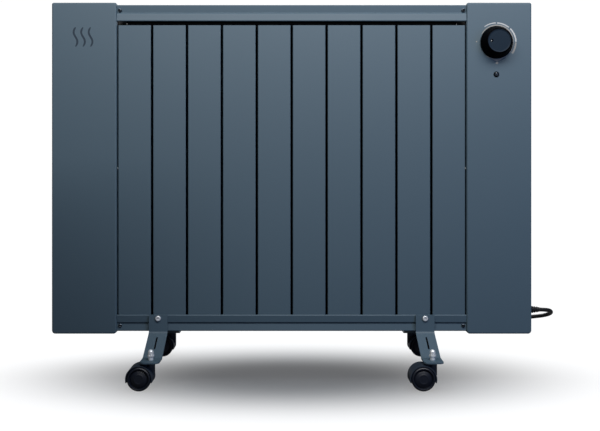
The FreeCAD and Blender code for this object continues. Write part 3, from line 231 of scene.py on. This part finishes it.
# Hidden heater parts: dull annealed steel and cream thermoset.
element_steel = plated("annealed element sheath", "#7d7a74", 0.4, 0.55)
insulator = moulded("cream thermoset", "#cfc9b8", 0.45, 0.55, 0.5)
# Knob: the fluted side swallows light, the face insert keeps a soft sheen.
knob_side_plastic = moulded("knob side plastic", "#010102", 0.42, 0.50, 0.02)
knob_face_plastic = moulded("knob face plastic", "#14202b", 0.45, 0.52, 0.1)
# Soft PVC of the cord and plug, matt; woven strap, duller still.
cord_pvc = moulded("cord PVC", "#131416", 0.45, 0.55, 0.4)
plug_pvc = moulded("plug PVC", "#16171a", 0.48, 0.58, 0.4)
strap_plastic = moulded("hook and loop strap", "#17181a", 0.8, 0.9, 0.2)
nickel = plated("nickel plated brass", "#d8d2c4", 0.15, 0.22)
lead_sleeve = moulded("silicone lead sleeve", "#9a9a98", 0.55, 0.65, 0.4)
# Printed marks: two greys for the scale, dark blue for the heat waves.
scale_ink = printed("pale grey ink", "#807e7a")
scale_ink_bright = printed("light grey ink", "#a6a6a4")
symbol_ink = printed("dark blue ink", "#1c2935")


def lamp_plastic():
    """Smoked polycarbonate lens, clear and dark."""
    material, tree, shader, place = new_material("smoked lamp lens")
    shader.inputs["Base Color"].default_value = srgb("#3b444d")
    shader.inputs["Transmission Weight"].default_value = 0.6
    shader.inputs["Roughness"].default_value = 0.12
    return material


lamp_lens = lamp_plastic()

SLOT_MATERIALS = {
    "fin_paint": fin_paint, "cover_paint": cover_paint, "rail_paint": rail_paint, "leg_paint": leg_paint,
    "inner_steel": inner_steel, "zinc_steel": zinc, "dark_screw": dark_zinc, "caster_nylon": hood_nylon,
    "wheel_nylon": wheel_nylon, "element_steel": element_steel, "moulded_insulator": insulator,
    "lamp_lens": lamp_lens, "knob_plastic": knob_side_plastic, "cord_pvc": cord_pvc, "plug_pvc": plug_pvc,
    "tie_plastic": strap_plastic, "nickel_brass": nickel, "lead_insulation": lead_sleeve,
}
node_slot = {part["node"]: part["material_slot"] for part in frame["record"]["subparts"]}


def paint(piece, material):
    piece.data.materials.clear()
    piece.data.materials.append(material)


for node_name, node_object in frame["nodes"].items():
    paint(node_object, SLOT_MATERIALS[node_slot[node_name]])


# --- Surfaces -------------------------------------------------------------------------------------
def link(piece, body, material, stands_for=()):
    bpy.context.scene.collection.objects.link(piece)
    piece.data.materials.append(material)
    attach(piece, body)
    if stands_for:
        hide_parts(*stands_for)
    return piece


def surface(name, points):
    """Mesh of a grid of points (rows, columns, 3) whose columns close on themselves. Poles and seams
    are merged, faces turned outward."""
    rows, columns = points.shape[:2]
    index = np.arange(rows * columns).reshape(rows, columns)
    below = index[:-1]
    above = index[1:]
    quads = np.stack([below, np.roll(below, -1, 1), np.roll(above, -1, 1), above], -1)
    mesh = bpy.data.meshes.new(name)
    mesh.from_pydata(points.reshape(-1, 3).tolist(), [], quads.reshape(-1, 4).tolist())
    work = bmesh.new()
    work.from_mesh(mesh)
    bmesh.ops.remove_doubles(work, verts=work.verts, dist=1e-7)
    bmesh.ops.recalc_face_normals(work, faces=work.faces)
    work.to_mesh(mesh)
    work.free()
    mesh.shade_smooth()
    mesh.set_sharp_from_angle(angle=math.radians(40))
    return bpy.data.objects.new(name, mesh)


def rounded(corners, radii, steps=5):
    """Profile with its corners rounded: each corner is the curve (1-t)^2 a + 2t(1-t) b + t^2 c."""
    corners = np.array(corners, float)
    line = [corners[:1]]
    t = np.linspace(0, 1, steps + 1)[:, None]
    for before, corner, after, radius in zip(corners, corners[1:], corners[2:], radii):
        a = corner + (before - corner) * min(0.49, radius / np.linalg.norm(before - corner))
        c = corner + (after - corner) * min(0.49, radius / np.linalg.norm(after - corner))
        line.append((1 - t) ** 2 * a + 2 * t * (1 - t) * corner + t ** 2 * c if radius else corner[None])
    line.append(corners[-1:])
    return np.concatenate(line)


def around(axis):
    """Two unit vectors square to the axis and to each other."""
    axis = np.array(axis, float)
    side = np.array((0.0, 0.0, 1.0)) if abs(axis[2]) < 0.9 else np.array((1.0, 0.0, 0.0))
    first = np.cross(side, axis)
    return axis, first, np.cross(axis, first)


def turned(name, profile, base, axis, steps=96, wave=None):
    """Surface of revolution. Point = base + h axis + (r + wave(r, h, a)) (u cos a + v sin a),
    for each (r, h) of the profile in millimetres and each angle a."""
    axis, u, v = around(axis)
    radius = profile[:, :1]
    height = profile[:, 1:]
    angle = np.linspace(0, 2 * math.pi, steps, endpoint=False)[None]
    radius = radius + (0 if wave is None else wave(radius, height, angle)) + 0 * angle
    points = (radius * np.cos(angle))[..., None] * u + (radius * np.sin(angle))[..., None] * v
    points = points + (height + 0 * angle)[..., None] * axis
    return surface(name, np.array(base) + points * MM)


def softened(node, width_mm):
    """Copy of a CAD node with its points merged and its sharp edges bevelled, standing for the node."""
    source = frame["nodes"][node]
    mesh = source.data.copy()
    work = bmesh.new()
    work.from_mesh(mesh)
    bmesh.ops.remove_doubles(work, verts=work.verts, dist=2e-6)
    work.to_mesh(mesh)
    work.free()
    mesh.shade_smooth()
    mesh.set_sharp_from_angle(angle=math.radians(30))
    mesh.materials.clear()
    piece = bpy.data.objects.new(node + "_soft", mesh)
    bevel = piece.modifiers.new("edges", "BEVEL")
    bevel.width = width_mm * MM
    bevel.segments = 3
    bevel.limit_method = "ANGLE"
    bevel.angle_limit = math.radians(32)
    bevel.harden_normals = True
    slot_name = node_slot[node]
    return link(piece, source["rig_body"], SLOT_MATERIALS[slot_name], [node])


# --- Cord -----------------------------------------------------------------------------------------
CORD_DIAMETER = 0.0072
COIL_X = 359.0
COIL_Z = 140.0
COIL_TURNS = 5.5
TURN_POINTS = 24
CHANGE_START = 5 / 6      # of a turn, where the cord moves over to its next place
OUTER_TURN = 46.6
INNER_TURN = 39.4
COIL_ROWS = (53.8, 61.0, 68.2)
COIL_PLACES = ((OUTER_TURN, COIL_ROWS[0]), (INNER_TURN, COIL_ROWS[0]), (INNER_TURN, COIL_ROWS[1]),
               (OUTER_TURN, COIL_ROWS[1]), (INNER_TURN, COIL_ROWS[2]), (OUTER_TURN, COIL_ROWS[2]))
PLUG_OUT = 21.5           # plug's axis behind the last turn
TAIL_STEPS = 4
PLUG_TOP_Z = 125.6
LEAD = ((430.0, 0.0, 109.0), (449.5, 0.0, 109.0), (466.0, 11.9, 104.5), (472.0, 31.0, 96.5),
        (466.0, 50.2, 89.0), (449.5, 62.0, 84.5), (427.0, 62.5, 82.5), (404.0, 60.0, 83.5),
        (382.0, 56.0, 87.5))


def coil_point(turn):
    """Control point on the coil: angle 2 pi turn from its lowest point, radius and row of its place."""
    place = min(int(turn), len(COIL_PLACES) - 1)
    radius, row = COIL_PLACES[place]
    change = (turn - place - CHANGE_START) / (1 - CHANGE_START)
    if change > 0 and place < len(COIL_PLACES) - 1:
        blend = change * change * (3 - 2 * change)
        radius += (COIL_PLACES[place + 1][0] - radius) * blend
        row += (COIL_PLACES[place + 1][1] - row) * blend
    angle = 2 * math.pi * turn
    reach = radius / math.cos(math.pi / TURN_POINTS)
    return (COIL_X - reach * math.sin(angle), row, COIL_Z - reach * math.cos(angle))


def cord_route():
    route = list(LEAD)
    steps = round(COIL_TURNS * TURN_POINTS)
    for step in range(steps):
        route.append(coil_point((step + 0.5) / TURN_POINTS))
    for step in range(1, TAIL_STEPS + 1):
        swing = math.pi / 2 * step / TAIL_STEPS
        out = (1 - math.cos(math.pi * step / TAIL_STEPS)) / 2
        route.append((COIL_X + OUTER_TURN * math.sin(swing), COIL_ROWS[2] + PLUG_OUT * out,
                      COIL_Z + OUTER_TURN * math.cos(swing)))
    route.append((COIL_X + OUTER_TURN, COIL_ROWS[2] + PLUG_OUT, PLUG_TOP_Z))
    return route


cord_curve = bpy.data.curves.new("mains_cord", "CURVE")
cord_curve.dimensions = "3D"
cord_curve.bevel_depth = CORD_DIAMETER / 2
cord_curve.bevel_resolution = 6
cord_curve.resolution_u = 6
cord_curve.use_fill_caps = True
cord_spline = cord_curve.splines.new("NURBS")
cord_points = cord_route()
cord_spline.points.add(len(cord_points) - 1)
for control, spot in zip(cord_spline.points, cord_points):
    control.co = (spot[0] * MM, spot[1] * MM, spot[2] * MM, 1.0)
cord_spline.order_u = 3
cord_spline.use_endpoint_u = True
cord = link(bpy.data.objects.new("mains_cord", cord_curve), "heater", cord_pvc,
            ["power_cord", "cord_coil"])


# Strain relief at the cover: rubber sleeve with grip rings on its taper.
COVER_SIDE_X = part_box("right_cover")[1].x
CORD_OUTLET_Z = 0.109
GLAND_LENGTH = 27.2
GLAND_ROOT = 7.4          # radius at the first ring
GLAND_TAPER = 2.6 / 18    # lost per millimetre from there on
GLAND_RINGS = (7.0, 11.0, 15.0, 19.0, 23.0)
RING_DEPTH = 0.9
gland_profile = [(0.0, -10.9), (6.0, -10.9), (6.0, -2.5), (10.0, -2.5), (10.0, -0.9), (6.9, -0.9),
                 (6.9, 0.0), (8.6, 0.0), (8.6, 2.4), (GLAND_ROOT, 3.4)]
for ring in GLAND_RINGS:
    wide = GLAND_ROOT - GLAND_TAPER * (ring - GLAND_RINGS[0])
    gland_profile += [(wide - RING_DEPTH, ring - 2.4), (wide - RING_DEPTH, ring - 1.6), (wide, ring - 1.4),
                      (wide - 0.1, ring + 0.2)]
gland_profile += [(4.1, 25.0), (4.0, GLAND_LENGTH), (3.7, GLAND_LENGTH), (3.7, 16.0), (0.0, 16.0)]
gland = link(turned("cord_gland_sleeve", rounded(gland_profile, [0.4] * (len(gland_profile) - 2)),
                    (COVER_SIDE_X, 0.0, CORD_OUTLET_Z), (1, 0, 0)),
             "heater", plug_pvc, ["cord_gland"])

# Plug: moulded body with grip ridges, tapering relief round the cord, two round pins.
PLUG_X = (COIL_X + OUTER_TURN) * MM
PLUG_Y = (COIL_ROWS[2] + PLUG_OUT) * MM
plug_face_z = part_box("plug")[0].z


def grip(radius, height, angle):
    """Ridges on the tapering part of the body: depth 0.5 mm, 20 round it."""
    on_body = np.clip((height - 11) / 3, 0, 1) * np.clip((29 - height) / 3, 0, 1)
    return 0.5 * on_body * np.cos(20 * angle)


def relief_rings(radius, height, angle):
    """Rings round the relief, 3 mm apart and 0.45 mm deep."""
    on_relief = np.clip((height - 33) / 1.5, 0, 1) * np.clip((49 - height) / 1.5, 0, 1)
    return -0.45 * on_relief * (np.sin(2 * math.pi * height / 3) > 0.2) + grip(radius, height, angle)


plug_corners = [(0, 0), (18.3, 0), (18.3, 8.6), (15.4, 11.2), (12.4, 26), (9.5, 32), (6.2, 32.4)]
plug_line = rounded(plug_corners, [1.4, 1.2, 2.0, 4.0, 2.0, 0])
relief_height = np.linspace(32.4, 50, 60)[1:]
relief_line = np.stack([6.2 - 1.9 * (relief_height - 32.4) / 17.6, relief_height], -1)
plug_line = np.concatenate([plug_line, relief_line, [(3.5, 50.0)]])
plug = link(turned("plug_moulding", plug_line, (PLUG_X, PLUG_Y, plug_face_z), (0, 0, 1), 160, relief_rings),
            "heater", plug_pvc, ["plug"])
plug_pins = softened("plug_pins", 0.2)
cord_tie = softened("cord_tie", 0.4)
softened("cord_hook", 0.3)


# --- Knob -----------------------------------------------------------------------------------------
knob_low, knob_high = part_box("knob")
KNOB_X = (knob_low.x + knob_high.x) / 2
KNOB_Z = (knob_low.z + knob_high.z) / 2
KNOB_BACK_Y = knob_high.y
knob_base = (KNOB_X, KNOB_BACK_Y, KNOB_Z)
FRONT = (0, -1, 0)


def knob_flutes(radius, height, angle):
    """Shallow grip flutes on the tapered side, 0.22 mm deep, 60 round it."""
    on_side = np.clip((height - 4.5) / 2, 0, 1) * np.clip((18.4 - height) / 2, 0, 1)
    return -0.22 * on_side * (0.5 + 0.5 * np.cos(60 * angle))


side_heights = np.linspace(3.4, 19.2, 30)
side_line = np.stack([28.0 - 6.2 * (side_heights - 3.0) / 16.5, side_heights], -1)
knob_side_line = np.concatenate([
    rounded([(20.0, 0), (28.0, 0), (28.0, 3.0), (27.86, 3.4)], [0.6, 0.3]), side_line,
    rounded([(21.9, 19.2), (20.9, 20.5), (19.2, 20.5), (18.6, 19.4), (18.3, 19.2)], [0.9, 0.5, 0.3])])
knob_side = link(turned("knob_side", knob_side_line, knob_base, FRONT, 240, knob_flutes),
                 "knob", knob_side_plastic, ["knob"])
knob_side.modifiers.new("wall", "SOLIDIFY").thickness = 1.2 * MM

FACE_LEVEL = 19.7
MARK_X = -12.5            # finger mark, from the knob's axis
MARK_RADIUS = 2.4
MARK_SEAT = 18.6          # floor of the finger mark above the knob's back


def knob_face_points():
    """Face insert, by radius and angle: height = level + a low rim between r = 17.9 and 20.4, less the
    depth of the finger mark inside it; the last two rings go down as a skirt."""
    ring = np.concatenate([np.linspace(0, 19.9, 84), [20.2, 20.3, 20.3]])[:, None]
    angle = np.linspace(0, 2 * math.pi, 240, endpoint=False)[None]
    across = ring * np.cos(angle)
    up = ring * np.sin(angle)
    from_mark = np.hypot(across - MARK_X, up)
    dip = 1.1 * np.clip((MARK_RADIUS + 0.25 - from_mark) / 0.5, 0, 1)
    level = FACE_LEVEL + 0.75 * np.clip((ring - 17.9) / 0.9, 0, 1) * np.clip((20.4 - ring) / 0.4, 0, 1)
    height = level - dip
    height[-2] = 20.0
    height[-1] = 17.5
    return np.stack([KNOB_X + across * MM, KNOB_BACK_Y - height * MM, KNOB_Z + up * MM], -1)


link(surface("knob_face", knob_face_points()), "knob", knob_face_plastic)
# In the finger mark: a near black disc on its floor is painted shade in the recess, and a small light grey
# dot set to its left is a painted highlight, the glint there.
shade_disc_line = rounded([(0, 0.12), (2.1, 0.12), (2.3, -0.4)], [0.2])
mark_seat_y = KNOB_BACK_Y - MARK_SEAT * MM
link(turned("knob_mark_painted_shade", shade_disc_line, (KNOB_X + MARK_X * MM, mark_seat_y, KNOB_Z), FRONT, 48),
     "knob", knob_side_plastic)
glint_dot_line = rounded([(0, 0.45), (0.6, 0.45), (0.8, 0.1), (0.8, -0.4)], [0.3, 0.1])
link(turned("knob_painted_glint", glint_dot_line, (KNOB_X + (MARK_X - 0.7) * MM, mark_seat_y, KNOB_Z), FRONT, 32),
     "knob", scale_ink_bright)


# --- Printing on the covers -----------------------------------------------------------------------
FACE_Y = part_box("right_cover")[0].y
INK = 0.05                # thickness of the print


def printed_band(name, centre_x, centre_z, start, end, inner, outer, material):
    """Band round a centre, clockwise from the top between two angles in degrees. At share s along it
    the band runs from radius inner(s) to outer(s), and its section is a closed rectangle."""
    s = np.linspace(0, 1, 64)[:, None]
    angle = np.radians(start + (end - start) * s)
    inside = inner(s) + 0 * s
    outside = outer(s) + 0 * s
    radius = np.concatenate([inside, outside, outside, inside], 1)
    depth = np.array([[0.0, 0.0, INK, INK]]) + 0 * s
    points = np.stack([centre_x + radius * np.sin(angle) * MM, FACE_Y - depth * MM + 0 * radius,
                       centre_z + radius * np.cos(angle) * MM], -1)
    closed = np.concatenate([points[:1] * 0 + points[:1].mean(1, keepdims=True), points,
                             points[-1:] * 0 + points[-1:].mean(1, keepdims=True)])
    link(surface(name, closed), "heater", material)


def steady(value):
    return lambda s: value + 0 * s


SCALE_OUTER = 34.5
DOT_X = KNOB_X + 1.0 * MM
DOT_Z = KNOB_Z - 35.2 * MM
OFF_X = KNOB_X - 34.2 * MM
OFF_Z = KNOB_Z + 1.5 * MM
for name, centre, angles, inner, outer, ink in (
        ("scale_band_1", (KNOB_X, KNOB_Z), (-37, -2), lambda s: SCALE_OUTER - 1.2 - 0.7 * s,
         steady(SCALE_OUTER), scale_ink_bright),
        ("scale_band_2", (KNOB_X, KNOB_Z), (2, 40), steady(SCALE_OUTER - 1.9), steady(SCALE_OUTER),
         scale_ink_bright),
        ("scale_band_3", (KNOB_X, KNOB_Z), (45, 88), steady(SCALE_OUTER - 2.0),
         steady(SCALE_OUTER + 0.4), scale_ink_bright),
        ("scale_band_4", (KNOB_X, KNOB_Z), (90, 125), lambda s: SCALE_OUTER - 2.4 - 0.8 * s,
         steady(SCALE_OUTER + 0.2), scale_ink),
        ("scale_ring", (KNOB_X, KNOB_Z), (-60, 128), steady(28.6),
         lambda s: 29.4 + 1.6 * np.sin(math.pi * np.clip(s * 1.15, 0, 1)), scale_ink),
        ("scale_ring_low", (KNOB_X, KNOB_Z), (140, 215), steady(28.4),
         lambda s: 29.2 + 3.2 * np.exp(-((s - 0.48) / 0.16) ** 2), scale_ink),
        ("scale_dot", (DOT_X, DOT_Z), (0, 360), steady(0.0), steady(2.3), scale_ink),
        ("off_dot", (OFF_X, OFF_Z), (0, 360), steady(0.0), steady(1.1), scale_ink)):
    printed_band(name, *centre, *angles, inner, outer, ink)

SYMBOL_X = -359.7
SYMBOL_Z = 587.0
WAVE_HEIGHT = 34.0
WAVE_SWAY = 3.2
WAVE_HALF_WIDTH = 1.7


def heat_wave(name, offset):
    """Rising heat mark: centreline x = offset + sway sin(2 pi s), z = height (s - 1/2). Its half width
    is steady and closes at both ends with sqrt(1 - (2s - 1)^6)."""
    s = np.linspace(0, 1, 96)[:, None]
    x = offset + WAVE_SWAY * np.sin(2 * math.pi * s)
    slope = WAVE_SWAY * 2 * math.pi * np.cos(2 * math.pi * s) / WAVE_HEIGHT
    half = WAVE_HALF_WIDTH * np.sqrt(np.clip(1 - (2 * s - 1) ** 6, 0, 1)) * np.sqrt(1 + slope ** 2)
    side = np.array([[-1.0, 1.0, 1.0, -1.0]])
    depth = np.array([[0.0, 0.0, INK, INK]])
    points = np.stack([(SYMBOL_X + x + side * half) * MM, FACE_Y - depth * MM + 0 * half,
                       (SYMBOL_Z + WAVE_HEIGHT * (s - 0.5) + 0 * side) * MM], -1)
    link(surface(name, points), "heater", symbol_ink)


for number, offset in enumerate((-13.0, 0.0, 13.0)):
    heat_wave(f"heat_wave_{number + 1}", offset)


# --- Pilot lamp -----------------------------------------------------------------------------------
lamp_spot = middle("pilot_lamp")
lamp_base = (lamp_spot.x, FACE_Y, lamp_spot.z)
lens_line = rounded([(0, 2.3), (2.4, 2.1), (3.5, 1.0), (3.6, 0.05)], [1.0, 0.8])
lamp = link(turned("lamp_lens", lens_line, lamp_base, FRONT, 64), "heater", lamp_lens,
            ["pilot_lamp"])
lamp.modifiers.new("wall", "SOLIDIFY").thickness = 0.8 * MM
bezel_line = rounded([(3.4, 0.3), (3.6, 1.4), (4.4, 1.4), (5.0, 0.05), (3.4, 0.05), (3.4, 0.3)],
                     [0.2, 0.4, 0.3, 0])
link(turned("lamp_bezel", bezel_line, lamp_base, FRONT, 64), "heater", knob_side_plastic)


# --- Casters --------------------------------------------------------------------------------------
CORNERS = ("front_left", "front_right", "rear_left", "rear_right")
# Section of a wheel from its bore: inner face, tread, rim, dished disc and the capped hub.
wheel_corners = [(2.6, 0.0), (17.2, 0.0), (19.6, 1.6), (19.6, 9.3), (17.8, 11.5), (16.2, 11.5),
                 (15.4, 7.6), (12.0, 9.6), (8.6, 10.9), (7.9, 11.3), (6.6, 11.4), (5.8, 11.1), (0.0, 11.4)]
wheel_radii = [1.0, 1.6, 2.0, 1.4, 0.5, 0.5, 0.4, 0.4, 0.4, 0.4, 0.4]
for corner in CORNERS:
    for side, way in (("front", -1), ("rear", 1)):
        node = f"caster_{corner}_wheel_{side}"
        low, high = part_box(node)
        inner_y = high.y if way < 0 else low.y
        base = ((low.x + high.x) / 2, inner_y, (low.z + high.z) / 2)
        link(turned(f"{node}_tread", rounded(wheel_corners, wheel_radii), base, (0, way, 0), 96), node,
             wheel_nylon, [node])
    softened(f"caster_{corner}_hood", 0.7)


# --- Nuts, stems and screws -----------------------------------------------------------------------
FOOT_TOP = 47.5
SPACER_TOP = 53.1
STEM_THREAD = 3.0         # radius
STEM_END = 60.9
NUT_FLATS = 10.0
NUT_BLANK = 5.4           # radius the hexagon is cut from
HEXAGON_TOP = 56.5
DOME_BOTTOM = 56.9
DOME_RADIUS = 4.6
DOME_MIDDLE = 60.3


def nut_faces(radius, height, angle):
    """Hexagon radius f / (2 cos b), b the angle from the nearest flat, cut by a 30 degree chamfer."""
    from_flat = (angle + math.pi / 6) % (math.pi / 3) - math.pi / 6
    flat = NUT_FLATS / 2 / np.cos(from_flat)
    from_end = np.minimum(height - SPACER_TOP, HEXAGON_TOP - height)
    cone = NUT_FLATS / 2 * 0.97 + np.clip(from_end, 0, None) * math.tan(math.radians(60))
    return np.where(radius == NUT_BLANK, np.minimum(flat, cone) - radius, 0 * angle)


chamfer_steps = np.array([0.0, 0.12, 0.25, 0.4, 0.6])
nut_heights = np.concatenate([SPACER_TOP + chamfer_steps, HEXAGON_TOP - chamfer_steps[::-1]])
dome_turn = np.linspace(0, math.pi / 2, 14)
nut_line = np.concatenate([
    [(0, STEM_END + 0.05), (STEM_THREAD + 0.03, STEM_END + 0.05), (STEM_THREAD + 0.03, SPACER_TOP)],
    np.stack([nut_heights * 0 + NUT_BLANK, nut_heights], -1),
    [(4.1, HEXAGON_TOP), (4.1, DOME_BOTTOM), (4.3, DOME_BOTTOM), (DOME_RADIUS, DOME_BOTTOM + 0.3)],
    np.stack([DOME_RADIUS * np.cos(dome_turn), DOME_MIDDLE + DOME_RADIUS * np.sin(dome_turn)], -1)])
stem_line = np.array([(0, 27.0), (2.6, 27.0), (STEM_THREAD, 27.4), (STEM_THREAD, 43.4), (6.7, 43.4),
                      (7.0, 43.7), (7.0, 45.0), (STEM_THREAD, 45.0), (STEM_THREAD, STEM_END - 0.9),
                      (2.1, STEM_END), (0, STEM_END)])
spacer_line = rounded([(3.05, FOOT_TOP), (4.25, FOOT_TOP), (4.25, SPACER_TOP), (3.05, SPACER_TOP),
                       (3.05, FOOT_TOP)], [0.4, 0.4, 0.2])
for corner in CORNERS:
    hood_low, hood_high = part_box(f"caster_{corner}_hood")
    leg_low, leg_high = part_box(f"leg_{corner}")
    spot = ((leg_low.x + leg_high.x) / 2, (hood_low.y + hood_high.y) / 2, 0.0)
    for name, line, wave, steps, node in (("nut", nut_line, nut_faces, 144, "caster_nuts"),
                                          ("spacer", spacer_line, None, 64, "caster_nuts"),
                                          ("stem", stem_line, None, 64, "caster_stems")):
        link(turned(f"{corner}_{name}", line, spot, (0, 0, 1), steps, wave), "heater", zinc,
             [node])
softened("leg_screws", 0.25)
softened("rail_screws", 0.2)
for corner in CORNERS:
    softened(f"leg_{corner}", 0.5)


# --- Stage ----------------------------------------------------------------------------------------
# The overhead light falls on the floor alone, and the softboxes on all but the floor.
FLOOR_HALF = 30.0
floor_mesh = bpy.data.meshes.new("floor")
floor_mesh.from_pydata([(-FLOOR_HALF, -FLOOR_HALF, 0), (FLOOR_HALF, -FLOOR_HALF, 0),
                        (FLOOR_HALF, FLOOR_HALF, 0), (-FLOOR_HALF, FLOOR_HALF, 0)], [], [(0, 1, 2, 3)])
floor = bpy.data.objects.new("floor", floor_mesh)
bpy.context.scene.collection.objects.link(floor)


def floor_paper():
    """Matt white paper. The camera sees it white, and it throws only a little light back up."""
    material, tree = empty_material("matt white paper")
    ray = add_node(tree, "ShaderNodeLightPath")
    seen = add_node(tree, "ShaderNodeBsdfDiffuse", Color=(0.9, 0.9, 0.9, 1.0))
    bounced = add_node(tree, "ShaderNodeBsdfDiffuse", Color=(0.12, 0.12, 0.12, 1.0))
    choice = add_node(tree, "ShaderNodeMixShader", {1: bounced.outputs["BSDF"], 2: seen.outputs["BSDF"]},
                      Fac=ray.outputs["Is Camera Ray"])
    add_node(tree, "ShaderNodeOutputMaterial", Surface=choice.outputs["Shader"])
    return material


floor_mesh.materials.append(floor_paper())
floor_only = bpy.data.collections.new("floor only")
floor_only.objects.link(floor)
all_but_floor = bpy.data.collections.new("all but floor")
all_but_floor.objects.link(floor)
all_but_floor.collection_objects[0].light_linking.link_state = "EXCLUDE"
shaders_of_floor = bpy.data.collections.new("shading the floor")


def softbox(name, place, aim, width, height, power):
    """Rectangular area light at a place, pointing at a spot, flagged off the floor."""
    light = bpy.data.lights.new(name, "AREA")
    light.shape = "RECTANGLE"
    light.size = width
    light.size_y = height
    light.energy = power
    light_object = bpy.data.objects.new(name, light)
    light_object.location = place
    light_object.rotation_euler = (Vector(aim) - Vector(place)).to_track_quat("-Z", "Y").to_euler()
    bpy.context.scene.collection.objects.link(light_object)
    light_object.light_linking.receiver_collection = all_but_floor
    return light_object


softbox("front softbox", (0.12, -0.85, 1.3), (0.05, 0.0, 0.5), 1.7, 0.5, 27.5)
side_fill = softbox("right softbox", (1.5, -1.3, 0.5), (0.3, 0.0, 0.3), 0.8, 0.8, 6.5)
side_fill.visible_glossy = False
side_fill.data.color = (0.5, 0.8, 1.6)
softbox("rear softbox", (0.3, 1.3, 1.2), (0.0, 0.0, 0.4), 1.6, 0.8, 34.0)
overhead_data = bpy.data.lights.new("overhead light", "SUN")
overhead_data.energy = 3.45
overhead_data.angle = math.radians(6)
overhead = bpy.data.objects.new("overhead light", overhead_data)
overhead.location = (0.0, 0.0, 3.0)
bpy.context.scene.collection.objects.link(overhead)
overhead.light_linking.receiver_collection = floor_only
overhead.light_linking.blocker_collection = shaders_of_floor

# A graded scrim over the heater gives the soft shadow under it; it casts that shadow and is not seen.
FLAG_HEIGHT = 0.9
FLAG_HALF_X = 0.345       # where it stops half the light
FLAG_HALF_Y = 0.158
FLAG_Y = -0.038
FLAG_CLEAR = 1.72         # times those, where it ends
FLAG_FULL = 0.38
FLAG_DENSITY = 0.88


def graded_scrim():
    """Black net. Its density falls from FLAG_DENSITY at r = FLAG_FULL to none at r = FLAG_CLEAR by a
    smooth step, r being the distance from the middle in half widths."""
    material, tree = empty_material("graded scrim")
    place = add_node(tree, "ShaderNodeTexCoord").outputs["Object"]
    scaled = add_node(tree, "ShaderNodeVectorMath", {0: place, 1: (1 / FLAG_HALF_X, 1 / FLAG_HALF_Y, 0.0)},
                      operation="MULTIPLY")
    reach = add_node(tree, "ShaderNodeVectorMath", {0: scaled.outputs["Vector"]}, operation="LENGTH")
    density = add_node(tree, "ShaderNodeMapRange", interpolation_type="SMOOTHSTEP",
                       Value=reach.outputs["Value"], From_Min=FLAG_FULL, From_Max=FLAG_CLEAR,
                       To_Min=FLAG_DENSITY, To_Max=0.0)
    clear = add_node(tree, "ShaderNodeBsdfTransparent")
    black = add_node(tree, "ShaderNodeBsdfDiffuse", Color=(0.0, 0.0, 0.0, 1.0))
    net = add_node(tree, "ShaderNodeMixShader", {1: clear.outputs["BSDF"], 2: black.outputs["BSDF"]},
                   Fac=density.outputs["Result"])
    add_node(tree, "ShaderNodeOutputMaterial", Surface=net.outputs["Shader"])
    return material


FLAG_CORNERS = 96
turn = np.linspace(0, 2 * math.pi, FLAG_CORNERS, endpoint=False)
flag_points = np.stack([FLAG_CLEAR * FLAG_HALF_X * np.cos(turn), FLAG_CLEAR * FLAG_HALF_Y * np.sin(turn),
                        0 * turn], -1)
flag_mesh = bpy.data.meshes.new("flag")
flag_mesh.from_pydata(flag_points.tolist(), [], [list(range(FLAG_CORNERS))])
flag_mesh.materials.append(graded_scrim())
flag = bpy.data.objects.new("flag", flag_mesh)
flag.location = (0.0, FLAG_Y, FLAG_HEIGHT)
bpy.context.scene.collection.objects.link(flag)
shaders_of_floor.objects.link(flag)

# A card in front, low on the left, keeps part of the front softbox off that corner.
CARD_RIGHT = -0.25
CARD_LEFT = -0.9
CARD_Y = -0.35
CARD_TOP = 0.6
card_mesh = bpy.data.meshes.new("card")
card_mesh.from_pydata([(CARD_LEFT, CARD_Y, 0.01), (CARD_RIGHT, CARD_Y, 0.01), (CARD_RIGHT, CARD_Y, CARD_TOP),
                       (CARD_LEFT, CARD_Y, CARD_TOP)], [], [(0, 1, 2, 3)])
card = bpy.data.objects.new("card", card_mesh)
bpy.context.scene.collection.objects.link(card)
for unseen in (flag, card):
    unseen.visible_camera = False
    unseen.visible_diffuse = False
    unseen.visible_glossy = False
    unseen.visible_transmission = False

world = bpy.data.worlds.new("studio")
world.use_nodes = True
world_tree = world.node_tree
world_tree.nodes.clear()
ray = add_node(world_tree, "ShaderNodeLightPath")
fill = add_node(world_tree, "ShaderNodeBackground", Color=(0.7, 0.8, 1.0, 1.0), Strength=0.06)
backdrop = add_node(world_tree, "ShaderNodeBackground", Color=(1.0, 1.0, 1.0, 1.0), Strength=1.05)
choice = add_node(world_tree, "ShaderNodeMixShader",
                  {1: fill.outputs["Background"], 2: backdrop.outputs["Background"]},
                  Fac=ray.outputs["Is Camera Ray"])
add_node(world_tree, "ShaderNodeOutputWorld", Surface=choice.outputs["Shader"])
bpy.context.scene.world = world
bpy.context.scene.view_settings.view_transform = "Standard"
